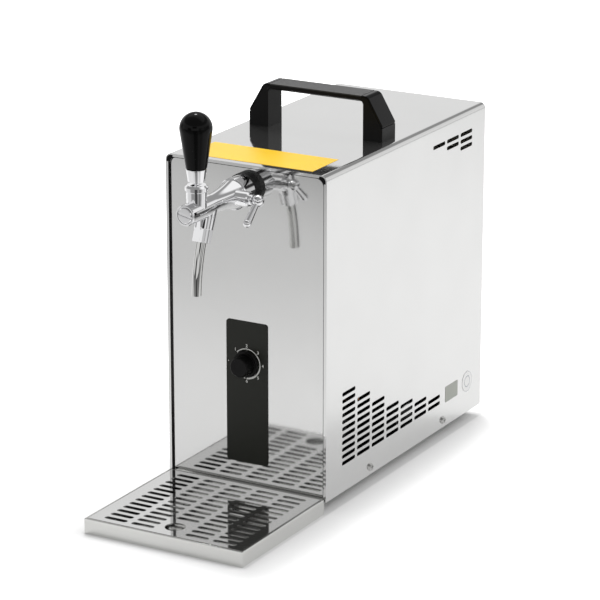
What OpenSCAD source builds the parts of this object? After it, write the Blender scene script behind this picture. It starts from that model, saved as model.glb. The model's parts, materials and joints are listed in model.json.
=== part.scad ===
// Countertop draft beer dispenser: a steel casing with a chilled tap, a thermostat and a loose drip tray.
// Lengths are in millimetres. X runs to the right of someone facing the tap, Y to the back and Z up.
// The modules draw with y = 0 at the casing's front edge and z = 0 on the counter,
// and stand() moves them so that the middle of the whole footprint is the origin.

/* [Casing] */
// Width of the casing over its side walls
casing_w = 178; // [172:1:220]
// Depth of the casing from its front edge to its back
casing_d = 335; // [330:1:400]
// Height of the casing without its feet
casing_h = 327; // [320:1:400]
// Height of the rubber feet
foot_h = 12; // [9:1:20]
// Diameter of a rubber foot
foot_d = 22; // [16:1:26]
// Thickness of the cover's steel sheet
sheet_t = 1.2; // [0.8:0.1:1.6]
// Outer bend radius along the cover's top edges
bend_r = 6; // [5:0.5:8]
// Width of the hem round the cover's front edge
hem_w = 3; // [2.4:0.1:4]
// Depth of the front panel behind the face of the hem
panel_recess = 2.5; // [1.5:0.1:3.5]
// Thickness of the front and rear panels
panel_t = 1.5; // [1:0.1:2]
// Corner radius of the front panel where it shows
panel_corner_r = 8; // [5:0.5:12]
// Thickness of the black trim inside the hem
trim_t = 0.6; // [0.4:0.1:1]
// Thickness of the base plate and of the inner shelf
base_t = 1.5; // [1:0.1:2.5]
// Height of the flange round the base plate
base_flange_h = 18; // [14:1:24]

/* [Vents] */
// Length of one vent slot
vent_len = 26.5; // [18:0.5:28]
// Height of one vent slot
vent_h = 4; // [2.5:0.1:5]
// Distance between columns of vent slots
vent_step_y = 30.4; // [30:0.1:31]
// Distance between rows of vent slots
vent_step_z = 7.1; // [6.5:0.1:8]
// Distance from the casing's front to the first lower slot
vent_front = 32; // [24:1:40]
// Height of the lowest row above the casing's bottom edge
vent_rise = 29.5; // [26:0.5:36]
// Distance from the casing's back to the last upper slot
upper_vent_back = 29.5; // [20:0.5:40]
// Distance of the upper row below the casing's top
upper_vent_drop = 22.5; // [18:0.5:30]

/* [Carry handle] */
// Width of the handle over its legs
handle_w = 150; // [140:1:158]
// Depth of the handle from front to back
handle_d = 27; // [22:1:34]
// Height of the handle
handle_h = 44.5; // [40:0.5:55]
// Width of one leg
leg_w = 21.5; // [18:0.5:26]
// Height of the leg's upright outer face
leg_straight_h = 16.5; // [12:0.5:22]
// Width of the slope between the leg and the bar
slope_w = 16.5; // [12:0.5:18]
// Thickness of the bar at its edges
bar_t = 4.5; // [4:0.1:6]
// How far the bar's underside bulges for the fingers
bar_crown = 4; // [2:0.5:6]
// Distance from the casing's front to the middle of the handle
handle_y = 149.5; // [110:0.5:200]
// Thickness of the screw caps in the handle's slopes
cap_t = 2; // [1.5:0.1:2.5]

/* [Drip tray] */
// Width of the tray
tray_w = 175; // [150:1:200]
// Depth of the tray
tray_d = 155; // [140:1:200]
// Height of the tray
tray_h = 15.5; // [12:0.5:25]
// Thickness of the tray's sheet
tray_t = 1; // [0.7:0.1:1.5]
// Width of the folded rim
rim_w = 2; // [1.5:0.1:3]
// Gap between the tray and the casing
tray_gap = 1; // [0.5:0.1:3]
// Thickness of the grille
grille_t = 1.2; // [0.8:0.1:2]
// Length of one grille slot
slot_len = 25; // [18:0.5:27]
// Width of one grille slot
slot_w = 5.8; // [3:0.1:6.5]
// Distance between columns of grille slots
slot_step_x = 30.1; // [29:0.1:33]
// Distance between rows of grille slots
slot_step_y = 10.9; // [9:0.1:11.5]
// Diameter of the finger hole in the grille
finger_hole_d = 20; // [16:0.5:22]

/* [Thermostat] */
// Width of the black control plate
plate_w = 46; // [44:0.5:60]
// Height of the black control plate
plate_h = 145; // [120:1:160]
// Thickness of the control plate
plate_t = 1.2; // [0.8:0.1:1.4]
// Height of the plate's lower edge above the casing's bottom edge
plate_rise = 24.5; // [22:0.5:40]
// Height of the dial above the plate's lower edge
dial_rise = 102.5; // [70:0.5:105]
// Diameter of the thermostat knob at its skirt
dial_knob_d = 27; // [26:0.5:30]
// Height of the thermostat knob
dial_knob_h = 15; // [12:0.5:20]
// Diameter of the thermostat's shaft
dial_shaft_d = 6; // [5:0.1:7]

/* [Tap] */
// Distance of the tap's axis below the casing's top
tap_drop = 24; // [22:0.5:40]
// Diameter of the black gasket ring
gasket_d = 32.5; // [31:0.5:38]
// Thickness of the black gasket ring
gasket_t = 9; // [6:0.5:14]
// Diameter of the threaded shank
shank_d = 22; // [18:0.5:24]
// Diameter of the chromed coupling ring
coupling_d = 31; // [30:0.5:36]
// Length of the coupling ring
coupling_len = 17.5; // [16:0.5:20]
// Length of the flared part of the tap's body
flare_len = 40; // [37:0.5:42]
// Diameter of the tap's neck
neck_d = 18.6; // [18:0.1:19.2]
// Diameter of the valve head
head_d = 20; // [19.8:0.1:22]
// Distance from the front panel to the nozzle's crossing with the tap's axis
nozzle_reach = 71; // [68:0.5:74]
// Lean of the nozzle from the vertical, in degrees
nozzle_lean = 20; // [10:1:24]
// Length of the nozzle
nozzle_len = 35; // [32:0.5:40]
// Distance from the front panel to the lever
lever_reach = 90.5; // [90:0.5:96]
// Distance from the lever to the front end of the valve head
head_nose = 21; // [20:0.5:24]
// Outer diameter of the spout
spout_d = 9.4; // [8:0.1:10.5]
// Wall thickness of the spout
spout_t = 0.8; // [0.5:0.1:1.2]
// Bend radius of the spout
spout_bend_r = 160; // [150:5:220]
// Lean of the spout's tip from the vertical, in degrees
spout_lean = 2; // [0:0.5:6]
// Height of the lever's pivot above the tap's axis
pivot_h = 16; // [15:0.5:20]
// Height of the chromed ferrule under the tap's knob
ferrule_h = 12; // [8:0.5:18]
// Largest diameter of the tap's knob
knob_d = 31.2; // [26:0.2:36]
// Diameter of the tap's knob at its foot
knob_foot_d = 20; // [18:0.2:24]
// Height of the tap's knob
knob_h = 54; // [44:0.5:70]
// Distance from the front panel to the compensator's axis
comp_reach = 33.5; // [31:0.5:36]
// Length of the compensator's side barrel from the tap's axis
comp_barrel = 24; // [22:0.5:30]
// Length of the compensator's lever from the middle of its hub
wing_len = 30.5; // [24:0.5:34]
// Angle of the compensator's lever below the horizontal, in degrees
wing_drop = 40; // [20:1:60]

/* [Cooling] */
// Diameter of the compressor
pot_d = 104; // [90:1:106]
// Height of the compressor's pot
pot_h = 125; // [100:1:140]
// Distance from the condenser's end plates to the base plate's edges
cond_side = 21.6; // [20:0.2:26]
// Height of the condenser
cond_h = 130; // [126:1:140]
// Depth of the condenser
cond_d = 32; // [32:1:40]
// Diameter of the fan over its blades
fan_d = 100; // [80:1:104]
// Wall of the insulation round the cooling block
foam_t = 20; // [14:1:22]
// Width of the cooling block
block_w = 104; // [100:1:106]
// Room for the bends of the tubes in front of and behind the cooling block
bend_room = 20; // [18:0.5:26]
// Outer diameter of the beer tube
beer_d = 8; // [6:0.1:8]
// Outer diameter of the refrigerant pipes
gas_d = 6; // [5:0.1:6.4]
// How far the hose fittings stand out of the back
fitting_out = 16; // [10:0.5:24]

/* [Hidden] */
$fn = 64;

// Clearances: between loose sheets, of a running shaft, and of a tube in its bore
fit = 0.2;
run = 0.05;
slip = 0.1;
// How far a cutter runs past the face that it cuts
past = 1;
// Grid that the points of a pipe's route lie on
pipe_grid = 1 / 64;
// Width of the small edge breaks on turned parts
edge = 0.8;

// Casing levels and faces
top_z = foot_h + casing_h;
inner_w = casing_w - 2 * sheet_t;
panel_back = panel_recess + panel_t;
rear_y = casing_d - panel_t;
floor_z = foot_h + base_t;
base_w = inner_w - 2 * fit;
floor_half = base_w / 2 - base_t;
corner_gap = 8;
front_y = -(casing_d + fitting_out - tray_gap - tray_d) / 2;

// Screws of the casing
screw_r = 2;
screw_head_r = 4.2;
screw_head_h = 2.2;
screw_len = 9;
cover_screw_rise = 8;
cover_screw_ys = [90, casing_d - 87];
foot_inset_x = 29;
foot_ys = [45, casing_d - 50];
foot_taper = 1;
foot_screw_out = 2;
foot_places = [for (x = [-1, 1], y = foot_ys) [x * (casing_w / 2 - foot_inset_x), y]];
foot_recess = 6;
rear_screw_inset = 7;
rear_screw_zs = [floor_z + 8, top_z - 24];

// Columns of vent slots, as the number of slots in each, from front to back
lower_vents = [11, 9, 7, 5, 4, 3, 2];
upper_vents = [1, 2, 3];
rear_vent_columns = 3;
rear_vent_rows = 8;
rear_vent_z = foot_h + 115;

// Labels
label_t = 0.2;
top_label_w = 138;
top_label_d = 51;
top_label_y = 8;
rating_size = [28, 17];
rating_back = 68;
rating_rise = 34;
sticker_d = 23;
sticker_back = 32;
rating_corner_r = 1;

// Carry handle
handle_front = handle_y - handle_d / 2;
leg_x = handle_w / 2 - leg_w / 2;
opening_w = handle_w - 2 * leg_w;
opening_r = 5;
slope_h = handle_h - leg_straight_h;
slope_len = norm([slope_w, slope_h]);
cap_low = 2.5;
cap_high = 7;
cap_groove = 0.4;
handle_screw_r = 2.5;
handle_screw_depth = 14;
handle_screw_step = 14;
bar_inset = 1;

// Drip tray and grille
tray_front = -tray_gap - tray_d;
rim_h = 3;
grille_gap = 0.6;
grille_w = tray_w - 2 * (rim_w + grille_gap);
grille_d = tray_d - 2 * (rim_w + grille_gap);
grille_y = tray_front + tray_d / 2;
grille_columns = 5;
grille_rows = 13;
hole_rows = 3;
slot_shift = 1;
finger_hole_y = grille_y - slot_step_y * ((grille_rows - 1) / 2 - 1);

// Thermostat
plate_r = 3;
plate_z = foot_h + plate_rise;
plate_face = panel_recess - plate_t;
dial_z = plate_z + dial_rise;
bush_r = dial_shaft_d / 2 + 2;
bush_out = 2;
dial_nut_r = bush_r + 3;
thermo_w = 32;
thermo_h = 36;
thermo_d = 22;
thermo_back = panel_back + thermo_d;
thermo_wire = 3;
thermo_wire_z = dial_z + thermo_h / 3;
thermo_wire_bend = 2;
dial_gap = 0.8;
dial_skirt_t = 3;
dial_grip_r = dial_knob_d / 2 - 2.5;
dial_face_r = dial_knob_d / 2 - 3.7;
dial_shaft_in = dial_knob_h - 3;

// Tap, measured forward from the front panel along the tap's axis
tap_z = top_z - tap_drop;
shank_r = shank_d / 2;
shank_bore_r = 4;
shank_nose_r = 6.9;
shank_nose_len = 8;
shank_tail_r = 6.5;
shank_body = 30;
shank_nut_t = 8;
shank_nut_r = shank_r + 5;
shank_tail = 48;
body_back = gasket_t + coupling_len / 2;
coupling_front = gasket_t + coupling_len;
coupling_wall = 1.4;
flare_r = coupling_d / 2 - coupling_wall;
flare_front = coupling_front + flare_len;
flare_drop = flare_r - neck_d / 2;
flare_curve_r = (flare_len * flare_len + flare_drop * flare_drop) / (2 * flare_drop);
valve_r = 5.6;
head_back = nozzle_reach - 3;
head_cone = 1;
head_edge = 0.6;
head_front = lever_reach + head_nose;
plug_thread_r = valve_r + 1.3;
plug_thread = 6;
plug_r = 7.7;
plug_head = 3;
plug_sink = 2;
plug_gap = 0.5;
plug_seat = head_front - plug_sink;
plug_slot_w = 1.6;
plug_slot_turn = 12;
plug_slot_depth = 1.5;
nozzle_r = neck_d / 2 + 0.5;
nozzle_waist_r = nozzle_r - 0.8;
nozzle_hex_len = 13;
nozzle_hex_r = nozzle_r + 0.1;
nozzle_hex_edge = 1.6;
elbow_r = 22;
elbow_step = 0.4;
spout_r = spout_d / 2;
spout_socket = 12;
nozzle_foot = [0, -nozzle_len * cos(nozzle_lean), nozzle_reach + nozzle_len * sin(nozzle_lean)];

// Lever, measured up from the tap's axis
boss_r = 9.5;
boss_h = 12;
boss_bore_r = 6.2;
bonnet_ring_r = 9.8;
bonnet_groove_z = boss_h + 6.6;
bonnet_groove_r = 8.8;
bonnet_collar_z = bonnet_groove_z + 1.2;
bonnet_collar_r = 11;
bonnet_cone_z = bonnet_collar_z + 3.2;
bonnet_top = bonnet_cone_z + 2;
bonnet_top_r = 9;
ball_r = 5;
ball_gap = 0.4;
pin_r = 1.5;
pin_len = 17;
stem_r = 3;
stem_gap = 0.4;
tail_r = 2;
tip_r = 2.2;
tilt_forward = 18;
tilt_back = 10;
ferrule_foot_r = 8.1;
ferrule_top_r = 9.8;
ferrule_gap = 3.3;
ferrule_z = bonnet_top + ferrule_gap;
knob_z = ferrule_z + ferrule_h;
knob_r = knob_d / 2;
stem_top = knob_z + knob_h / 2;

// Plunger
rod_r = 3;
plunger_gap = 0.4;
plunger_r = valve_r - plunger_gap;
plunger_rod = 24.5;
plunger_back = lever_reach - plunger_rod;
plunger_boss = 6.5;
seal_t = 3;
seal_places = [plunger_back + 3, plunger_back + 11];

// Compensator
comp_barrel_r = 7.6;
comp_edge = 1.2;
spindle_r = 3;
spindle_in = 3;
crank_r = 1.7;
crank_pin_r = 1;
crank_pin_in = 2;
gland_thread_r = 4.4;
gland_thread = 6;
gland_r = 5.2;
gland_len = 3.4;
wing_gap = 0.5;
hub_r = 5.9;
hub_in = 4.6;
wing_root_r = 2.5;
wing_end_r = 3.8;
wing_tip_r = 4;
wing_x = comp_barrel + gland_len + wing_gap;
hub_x = wing_x + hub_in;
cone_len = 12;
cone_tab = 6;
cone_disc_t = 3;
crank_gap = 0.3;

// Lower compartment: compressor, condenser, fan and air pump
grommet_r = 8;
grommet_h = 8;
pot_r = pot_d / 2;
pot_round = 24;
pot_seam = 2.5;
pot_seam_h = 6;
pot_plate = pot_d + 12;
pot_plate_t = 2;
pot_side = 8;
pot_rear = 20;
pot_x = pot_plate / 2 + pot_side - floor_half;
pot_y = casing_d - pot_rear - pot_plate / 2;
pot_bolt_inset = 8;
pot_bolt = pot_plate / 2 - pot_bolt_inset;
bolt_head_r = 5;
bolt_head_h = 3;
pot_bolt_r = 3;
pot_z = floor_z + grommet_h;
pot_top = pot_z + pot_h;
pot_bolt_places = [for (x = [-1, 1], y = [-1, 1]) [pot_x + x * pot_bolt, pot_y + y * pot_bolt]];
gas_r = gas_d / 2;
gas_wall = 0.8;
gas_bend = 7;
stub_r = gas_r + 1;
stub_len = 10;
stub_top = pot_top + stub_len;
evap_x = 20;
suction_place = [-evap_x, pot_y + 33];
discharge_place = [pot_x - 28, pot_y - 15];
relay_size = [40, 20, 45];
relay_gap = 3;
relay_y = pot_y - pot_r - pot_seam - relay_gap - relay_size[1];
relay_rise = 45;
terminal_r = 9;
cond_gap = 6;
cond_w = base_w - 2 * cond_side;
cond_y = thermo_back + cond_gap;
cond_z = floor_z + cond_gap;
cond_top = cond_z + cond_h;
cond_back = cond_y + cond_d;
cond_end_t = 2;
fin_t = 0.8;
fin_step = 6;
cond_rows = 5;
cond_row_step = 25;
cond_column_step = 16;
cond_columns = [for (s = [1, -1]) cond_y + cond_d / 2 + s * cond_column_step / 2];
cond_loop = 11;
cond_turn = cond_w / 2 + cond_loop;
cond_mid_z = cond_z + cond_h / 2;
cond_row_zs = [for (i = [0:cond_rows - 1]) cond_mid_z + cond_row_step * ((cond_rows - 1) / 2 - i)];
cond_end_z = cond_top + 2;
rail_t = 3;
fan_r = fan_d / 2;
fan_gap = 3;
fan_z = cond_mid_z;
shroud_t = 2;
shroud_ring_t = 1.5;
shroud_ring_d = 22;
fan_bar_t = 3;
fan_bar_w = 8;
fan_hub_r = 15;
fan_hub_d = 12;
fan_blades_n = 5;
fan_chord = 24;
fan_pitch = 32;
fan_blade_t = 1.5;
fan_shaft_r = 2;
fan_shaft_gap = 2;
fan_shaft_end = 6;
fan_root = 3;
fan_tip_gap = 2;
fan_motor_r = 20;
fan_motor_d = 28;
fan_mid_y = cond_back + shroud_t + shroud_ring_d / 2;
fan_bar_y = cond_back + shroud_t + shroud_ring_d;
fan_motor_y = fan_bar_y + fan_bar_t;
fan_motor_back = fan_motor_y + fan_motor_d;
drier_side = 17;
drier_back = 86;
drier_place = [drier_side - cond_turn, cond_back + drier_back];
drier_r = 9;
drier_len = 76;
drier_tail = 14;
pump_size = [48, 38, 42];
pump_gap = 4;
pump_x = floor_half - pump_gap - pump_size[0];
pump_y = pot_y - pot_plate / 2 - pump_gap - pump_size[1];
pump_motor_r = 16;
pump_motor_len = 34;
pump_nozzle = 8;

// Upper compartment: shelf, insulation, cooling block and beer tube
pipe_room = 30;
shelf_z = pot_top + pipe_room;
rear_room = 80;
shelf_back = casing_d - rear_room;
shelf_leg_w = 4;
shelf_leg_inset = 0.3;
foam_z = shelf_z + base_t;
foam_front = 34;
foam_shelf_gap = 5;
foam_back = shelf_back - foam_shelf_gap;
foam_side_gap = 2;
foam_w = block_w + 2 * (foam_t + foam_side_gap);
foam_head_gap = 6;
foam_top = top_z - sheet_t - foam_head_gap;
lid_t = 10;
lid_z = foam_top - lid_t;
cavity_front = foam_front + foam_t;
cavity_back = foam_back - foam_t;
block_y = (cavity_front + cavity_back) / 2;
block_d = cavity_back - cavity_front - 2 * bend_room;
block_front = block_y - block_d / 2;
block_z = foam_z + foam_t;
block_tap_gap = 22;
block_top = tap_z - block_tap_gap;
beer_r = beer_d / 2;
beer_wall = 0.7;
beer_bend = 12;
beer_xs = [-36, -12, 12, 36];
beer_z = block_z + 30;
tube_loop = 12;
beer_front = block_front - tube_loop;
beer_back = block_front + block_d + tube_loop;
evap_zs = [beer_z + 22, beer_z + 40];
evap_bend = 9;
evap_out = 20;
evap_end = foam_back + evap_out;
evap_joint = 8;
capillary_r = 1.2;
capillary_bend = 3;
capillary_side = 8;
bulb_r = 3;
bulb_len = 60;
bulb_x = 8;
bulb_z = beer_z + 11;

// Fittings in the rear panel
fitting_r = 8.5;
fitting_flange_r = 11;
fitting_flange_t = 3;
fitting_in = 14;
fitting_bore_r = 4.8;
fitting_bore = 18;
fitting_step = 0.5;
fitting_bore_y = casing_d + fitting_out - fitting_bore;
air_side = 23.1;
air_place = [floor_half - air_side, floor_z + 62];
air_bend = 8;
air_wall = 1;
hose_places = [[beer_xs[0], beer_z], air_place];
air_hose_r = 3;
gland_side = 26.1;
gland_place = [gland_side - floor_half, floor_z + 26];
cable_r = 4.2;
cable_gland_r = 9;
cable_gland_out = 12;
cable_gland_in = 10;
cable_nut_t = 5;
cable_nut_r = cable_gland_r + 3;
cable_cap_r = cable_gland_r - 1.5;

// Moves the casing's coordinates to the middle of the footprint
module stand() { translate([0, front_y, 0]) children(); }

// Extrudes a front view (x, z) along Y
module across(y0, len) { translate([0, y0 + len, 0]) rotate([90, 0, 0]) linear_extrude(len) children(); }

// Extrudes a side view (y, z) along X
module sideways(x0, len) { translate([x0, 0, 0]) rotate([90, 0, 90]) linear_extrude(len) children(); }

// Extrudes a plan (x, y) upwards
module upright(z0, len) { translate([0, 0, z0]) linear_extrude(len) children(); }

// Round rods along each axis
module rod_x(x0, x1, y, z, r) { translate([x0, y, z]) rotate([0, 90, 0]) cylinder(h = x1 - x0, r = r); }
module rod_y(y0, y1, x, z, r) { translate([x, y0, z]) rotate([-90, 0, 0]) cylinder(h = y1 - y0, r = r); }
module rod_z(z0, z1, x, y, r) { translate([x, y, z0]) cylinder(h = z1 - z0, r = r); }

// Ring outline; a ring with no inner radius is a disc
module ring(ro, ri = 0) {
    difference() {
        circle(ro);
        if (ri > 0) circle(ri);
    }
}

// Upright outline with a flat foot and two round top corners
module arch(w, h, r) {
    translate([-w / 2, 0]) square([w, h - r]);
    translate([-w / 2 + r, 0]) square([w - 2 * r, h]);
    for (s = [-1, 1]) translate([s * (w / 2 - r), h - r]) circle(r);
}

// Rectangle with round corners, about its middle
module rounded(w, h, r) {
    square([w - 2 * r, h], center = true);
    square([w, h - 2 * r], center = true);
    for (x = [-1, 1], y = [-1, 1]) translate([x * (w / 2 - r), y * (h / 2 - r)]) circle(r);
}

// Slot with round ends, about its middle
module slot(len, w) {
    square([len - w, w], center = true);
    for (s = [-1, 1]) translate([s * (len - w) / 2, 0]) circle(w / 2, $fn = 24);
}

// Pan head screw along -Z with its head's underside at the origin
module screw(r, head_r, head_h, len) {
    cylinder(h = head_h, r1 = head_r, r2 = head_r - head_h / 2);
    translate([0, 0, -len]) cylinder(h = len, r = r);
}

// Directions and turns along a pipe's route
function unit(v) = v / norm(v);
function leg(p, i) = unit(p[i + 1] - p[i]);
function turn(p, i) = acos(leg(p, i - 1) * leg(p, i));
function setback(p, i, b) = i == 0 || i == len(p) - 1 ? 0 : b * tan(turn(p, i) / 2);

// Straight stretch of a pipe from a to b
module pipe_straight(a, b, ro, ri) {
    d = unit(b - a);
    translate(a) rotate([0, acos(d[2]), atan2(d[1], d[0])]) linear_extrude(norm(b - a)) ring(ro, ri);
}

// Bend of a pipe at point i of its route
module pipe_bend(p, i, b, ro, ri) {
    into = leg(p, i - 1);
    out = leg(p, i);
    side = unit(out - into * (into * out));
    c = p[i] - into * setback(p, i, b) + side * b;
    k = cross(-side, into);
    multmatrix([for (j = [0:2]) [-side[j], into[j], k[j], c[j]]])
        rotate_extrude(angle = turn(p, i)) translate([b, 0]) ring(ro, ri);
}

// Pipe along a route of points with one bend radius; a fine grid makes its stretches meet
module pipe(route, b, ro, ri = 0) {
    p = [for (q = route) [for (v = q) round(v / pipe_grid) * pipe_grid]];
    for (i = [0:len(p) - 2]) {
        start = p[i] + leg(p, i) * setback(p, i, b);
        end = p[i + 1] - leg(p, i) * setback(p, i + 1, b);
        pipe_straight(start, end, ro, ri);
    }
    if (len(p) > 2) for (i = [1:len(p) - 2]) pipe_bend(p, i, b, ro, ri);
}

// Tap coordinates: x to the right, y up, z forward from the front panel
module along_tap() { translate([0, panel_recess, tap_z]) rotate([90, 0, 0]) children(); }

// Nozzle coordinates inside the tap's: z down the nozzle from its crossing with the tap's axis
module along_nozzle() { translate([0, 0, nozzle_reach]) rotate([90 - nozzle_lean, 0, 0]) children(); }

// Lever coordinates: as the casing's, from the tap's axis under the lever
module at_lever() { translate([0, panel_recess - lever_reach, tap_z]) children(); }

// Side view of every vent slot in the cover
module vent_slots() {
    for (c = [0:len(lower_vents) - 1], r = [0:lower_vents[c] - 1])
        translate([vent_front + vent_len / 2 + c * vent_step_y, foot_h + vent_rise + r * vent_step_z])
            slot(vent_len, vent_h);
    for (c = [0:len(upper_vents) - 1], r = [0:upper_vents[c] - 1])
        translate([casing_d - upper_vent_back - vent_len / 2 - (len(upper_vents) - 1 - c) * vent_step_y,
                   top_z - upper_vent_drop - r * vent_step_z])
            slot(vent_len, vent_h);
}

module base_plate() {
    color("lightgray") difference() {
        translate([-base_w / 2, panel_back, foot_h])
            cube([base_w, rear_y - panel_back, base_t + base_flange_h]);
        translate([-floor_half, panel_back + base_t, floor_z])
            cube([2 * floor_half, rear_y - panel_back - 2 * base_t, base_flange_h + past]);
        for (p = foot_places) rod_z(foot_h - past, floor_z + past, p[0], p[1], screw_r);
        for (p = pot_bolt_places) rod_z(foot_h - past, floor_z + past, p[0], p[1], pot_bolt_r);
        for (y = cover_screw_ys) rod_x(-base_w, base_w, y, foot_h + cover_screw_rise, screw_r);
        for (x = [-1, 1]) rod_y(rear_y - base_t - past, rear_y + past,
                                x * (inner_w / 2 - rear_screw_inset), rear_screw_zs[0], screw_r);
        rod_y(rear_y - base_t - past, rear_y + past, gland_place[0], gland_place[1], cable_gland_r);
    }
}

module rubber_feet() {
    color([0.07, 0.07, 0.07]) for (p = foot_places) difference() {
        translate([p[0], p[1], 0]) cylinder(h = foot_h, r1 = foot_d / 2 - foot_taper, r2 = foot_d / 2);
        rod_z(-past, foot_h + past, p[0], p[1], screw_r);
        rod_z(-past, foot_recess, p[0], p[1], screw_head_r + fit);
    }
}

module foot_screws() {
    color("silver") for (p = foot_places)
        translate([p[0], p[1], foot_recess]) rotate([180, 0, 0])
            screw(screw_r, screw_head_r, screw_head_h, foot_h - foot_recess + base_t + foot_screw_out);
}

module front_panel() {
    color([0.8, 0.8, 0.8]) across(panel_recess, panel_t) difference() {
        translate([0, foot_h]) arch(inner_w - 2 * fit, casing_h - sheet_t - fit, bend_r - sheet_t);
        translate([0, tap_z]) circle(shank_r + slip);
        translate([0, dial_z]) circle(bush_r + slip);
    }
}

// Front view of the two top corners where the hem is cut away
module hem_corners(size) {
    for (m = [0, 1]) mirror([m, 0]) translate([casing_w / 2 - size, casing_h - size]) square(2 * size);
}

// Trim inside the hem, filling the hem's cut corners too
module front_trim() {
    color([0.05, 0.05, 0.05]) across(fit, panel_recess - fit) translate([0, foot_h]) difference() {
        union() {
            arch(casing_w - 2 * hem_w, casing_h - hem_w, bend_r - hem_w + past);
            intersection() {
                arch(inner_w - 2 * fit, casing_h - sheet_t - fit, bend_r - sheet_t);
                hem_corners(corner_gap);
            }
        }
        translate([0, -past])
            arch(casing_w - 2 * (hem_w + trim_t), casing_h - hem_w - trim_t + past, panel_corner_r);
    }
}

module casing_cover() {
    color([0.85, 0.85, 0.85]) difference() {
        union() {
            across(0, casing_d) translate([0, foot_h]) difference() {
                arch(casing_w, casing_h, bend_r);
                translate([0, -past]) arch(inner_w, casing_h - sheet_t + past, bend_r - sheet_t);
            }
            across(0, panel_recess) translate([0, foot_h]) difference() {
                arch(casing_w, casing_h, bend_r);
                translate([0, -past])
                    arch(casing_w - 2 * hem_w, casing_h - hem_w + past, bend_r - hem_w + past);
                hem_corners(corner_gap + fit);
            }
        }
        sideways(-casing_w, 2 * casing_w) vent_slots();
        for (y = cover_screw_ys) rod_x(-casing_w, casing_w, y, foot_h + cover_screw_rise, screw_r + slip);
        handle_screw_holes(top_z - sheet_t - past, top_z + past, handle_screw_r + slip);
    }
}

module rear_panel() {
    color([0.8, 0.8, 0.8]) across(rear_y, panel_t) difference() {
        translate([0, foot_h]) arch(inner_w - 2 * fit, casing_h - sheet_t - fit, bend_r - sheet_t);
        for (p = hose_places) translate(p) circle(fitting_r + slip);
        translate(gland_place) circle(cable_gland_r + slip);
        for (x = [-1, 1], z = rear_screw_zs)
            translate([x * (inner_w / 2 - rear_screw_inset), z]) circle(screw_r + slip);
        for (c = [0:rear_vent_columns - 1], r = [0:rear_vent_rows - 1])
            translate([(c - (rear_vent_columns - 1) / 2) * vent_step_y, rear_vent_z + r * vent_step_z])
                slot(vent_len, vent_h);
    }
}

module cover_screws() {
    color("silver") for (s = [-1, 1], y = cover_screw_ys)
        translate([s * casing_w / 2, y, foot_h + cover_screw_rise]) rotate([0, s * 90, 0])
            screw(screw_r, screw_head_r, screw_head_h, screw_len);
}

module rear_screws() {
    color("silver") for (x = [-1, 1], z = rear_screw_zs)
        translate([x * (inner_w / 2 - rear_screw_inset), casing_d, z]) rotate([-90, 0, 0])
            screw(screw_r, screw_head_r, screw_head_h, screw_len);
}

// Front view of the handle's outside
module handle_outline() {
    half = handle_w / 2;
    polygon([[-half, 0], [half, 0], [half, leg_straight_h], [half - slope_w, handle_h],
             [slope_w - half, handle_h], [-half, leg_straight_h]]);
}

// Front view of one screw cap, which wraps over the slope, with a groove at each end
module cap_outline(groove) {
    half = handle_w / 2;
    nx = slope_h / slope_len;
    nz = slope_w / slope_len;
    low = leg_straight_h - cap_low + groove;
    high = half - slope_w - cap_high + groove;
    polygon([[half, low], [half, leg_straight_h], [half - slope_w, handle_h], [high, handle_h],
             [high, handle_h - cap_t], [half - slope_w - cap_t * (1 - nz) / nx, handle_h - cap_t],
             [half - cap_t, leg_straight_h - cap_t * (1 - nx) / nz], [half - cap_t, low]]);
}

// Upright holes or shanks of the handle's screws
module handle_screw_holes(z0, z1, r) {
    for (x = [-1, 1], y = [-1, 1]) rod_z(z0, z1, x * leg_x, handle_y + y * handle_screw_step / 2, r);
}

// Side view of the bulge under the bar
module bar_bulge() {
    half = handle_d / 2 - bar_inset;
    curve_r = (half * half + bar_crown * bar_crown) / (2 * bar_crown);
    intersection() {
        translate([-half, -bar_crown]) square([2 * half, bar_crown + bar_t / 2]);
        translate([0, curve_r - bar_crown]) circle(curve_r, $fn = 180);
    }
}

module carry_handle() {
    color([0.06, 0.06, 0.06]) difference() {
        union() {
            across(handle_front, handle_d) translate([0, top_z]) difference() {
                handle_outline();
                translate([0, -past]) arch(opening_w, handle_h - bar_t + past, opening_r);
            }
            translate([0, handle_y, top_z + handle_h - bar_t])
                sideways(-opening_w / 2 - past, opening_w + 2 * past) bar_bulge();
        }
        for (m = [0, 1]) mirror([m, 0, 0])
            across(handle_front - past, handle_d + 2 * past) translate([0, top_z]) cap_outline(0);
        handle_screw_holes(top_z - past, top_z + handle_screw_depth, handle_screw_r);
    }
}

module handle_caps() {
    color([0.08, 0.08, 0.08]) for (m = [0, 1]) mirror([m, 0, 0])
        across(handle_front, handle_d) translate([0, top_z]) cap_outline(cap_groove);
}

module handle_screws() {
    color("silver") for (x = [-1, 1], y = [-1, 1])
        translate([x * leg_x, handle_y + y * handle_screw_step / 2, top_z - sheet_t]) rotate([180, 0, 0])
            screw(handle_screw_r, screw_head_r, screw_head_h, handle_screw_depth + sheet_t - past);
}

module top_label() {
    color([0.95, 0.78, 0.2]) translate([-top_label_w / 2, top_label_y, top_z])
        cube([top_label_w, top_label_d, label_t]);
}

module side_labels() {
    color([0.72, 0.73, 0.7]) sideways(casing_w / 2, label_t) {
        translate([casing_d - rating_back, foot_h + rating_rise])
            rounded(rating_size[0], rating_size[1], rating_corner_r);
        translate([casing_d - sticker_back, foot_h + rating_rise]) circle(sticker_d / 2);
    }
}

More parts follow.
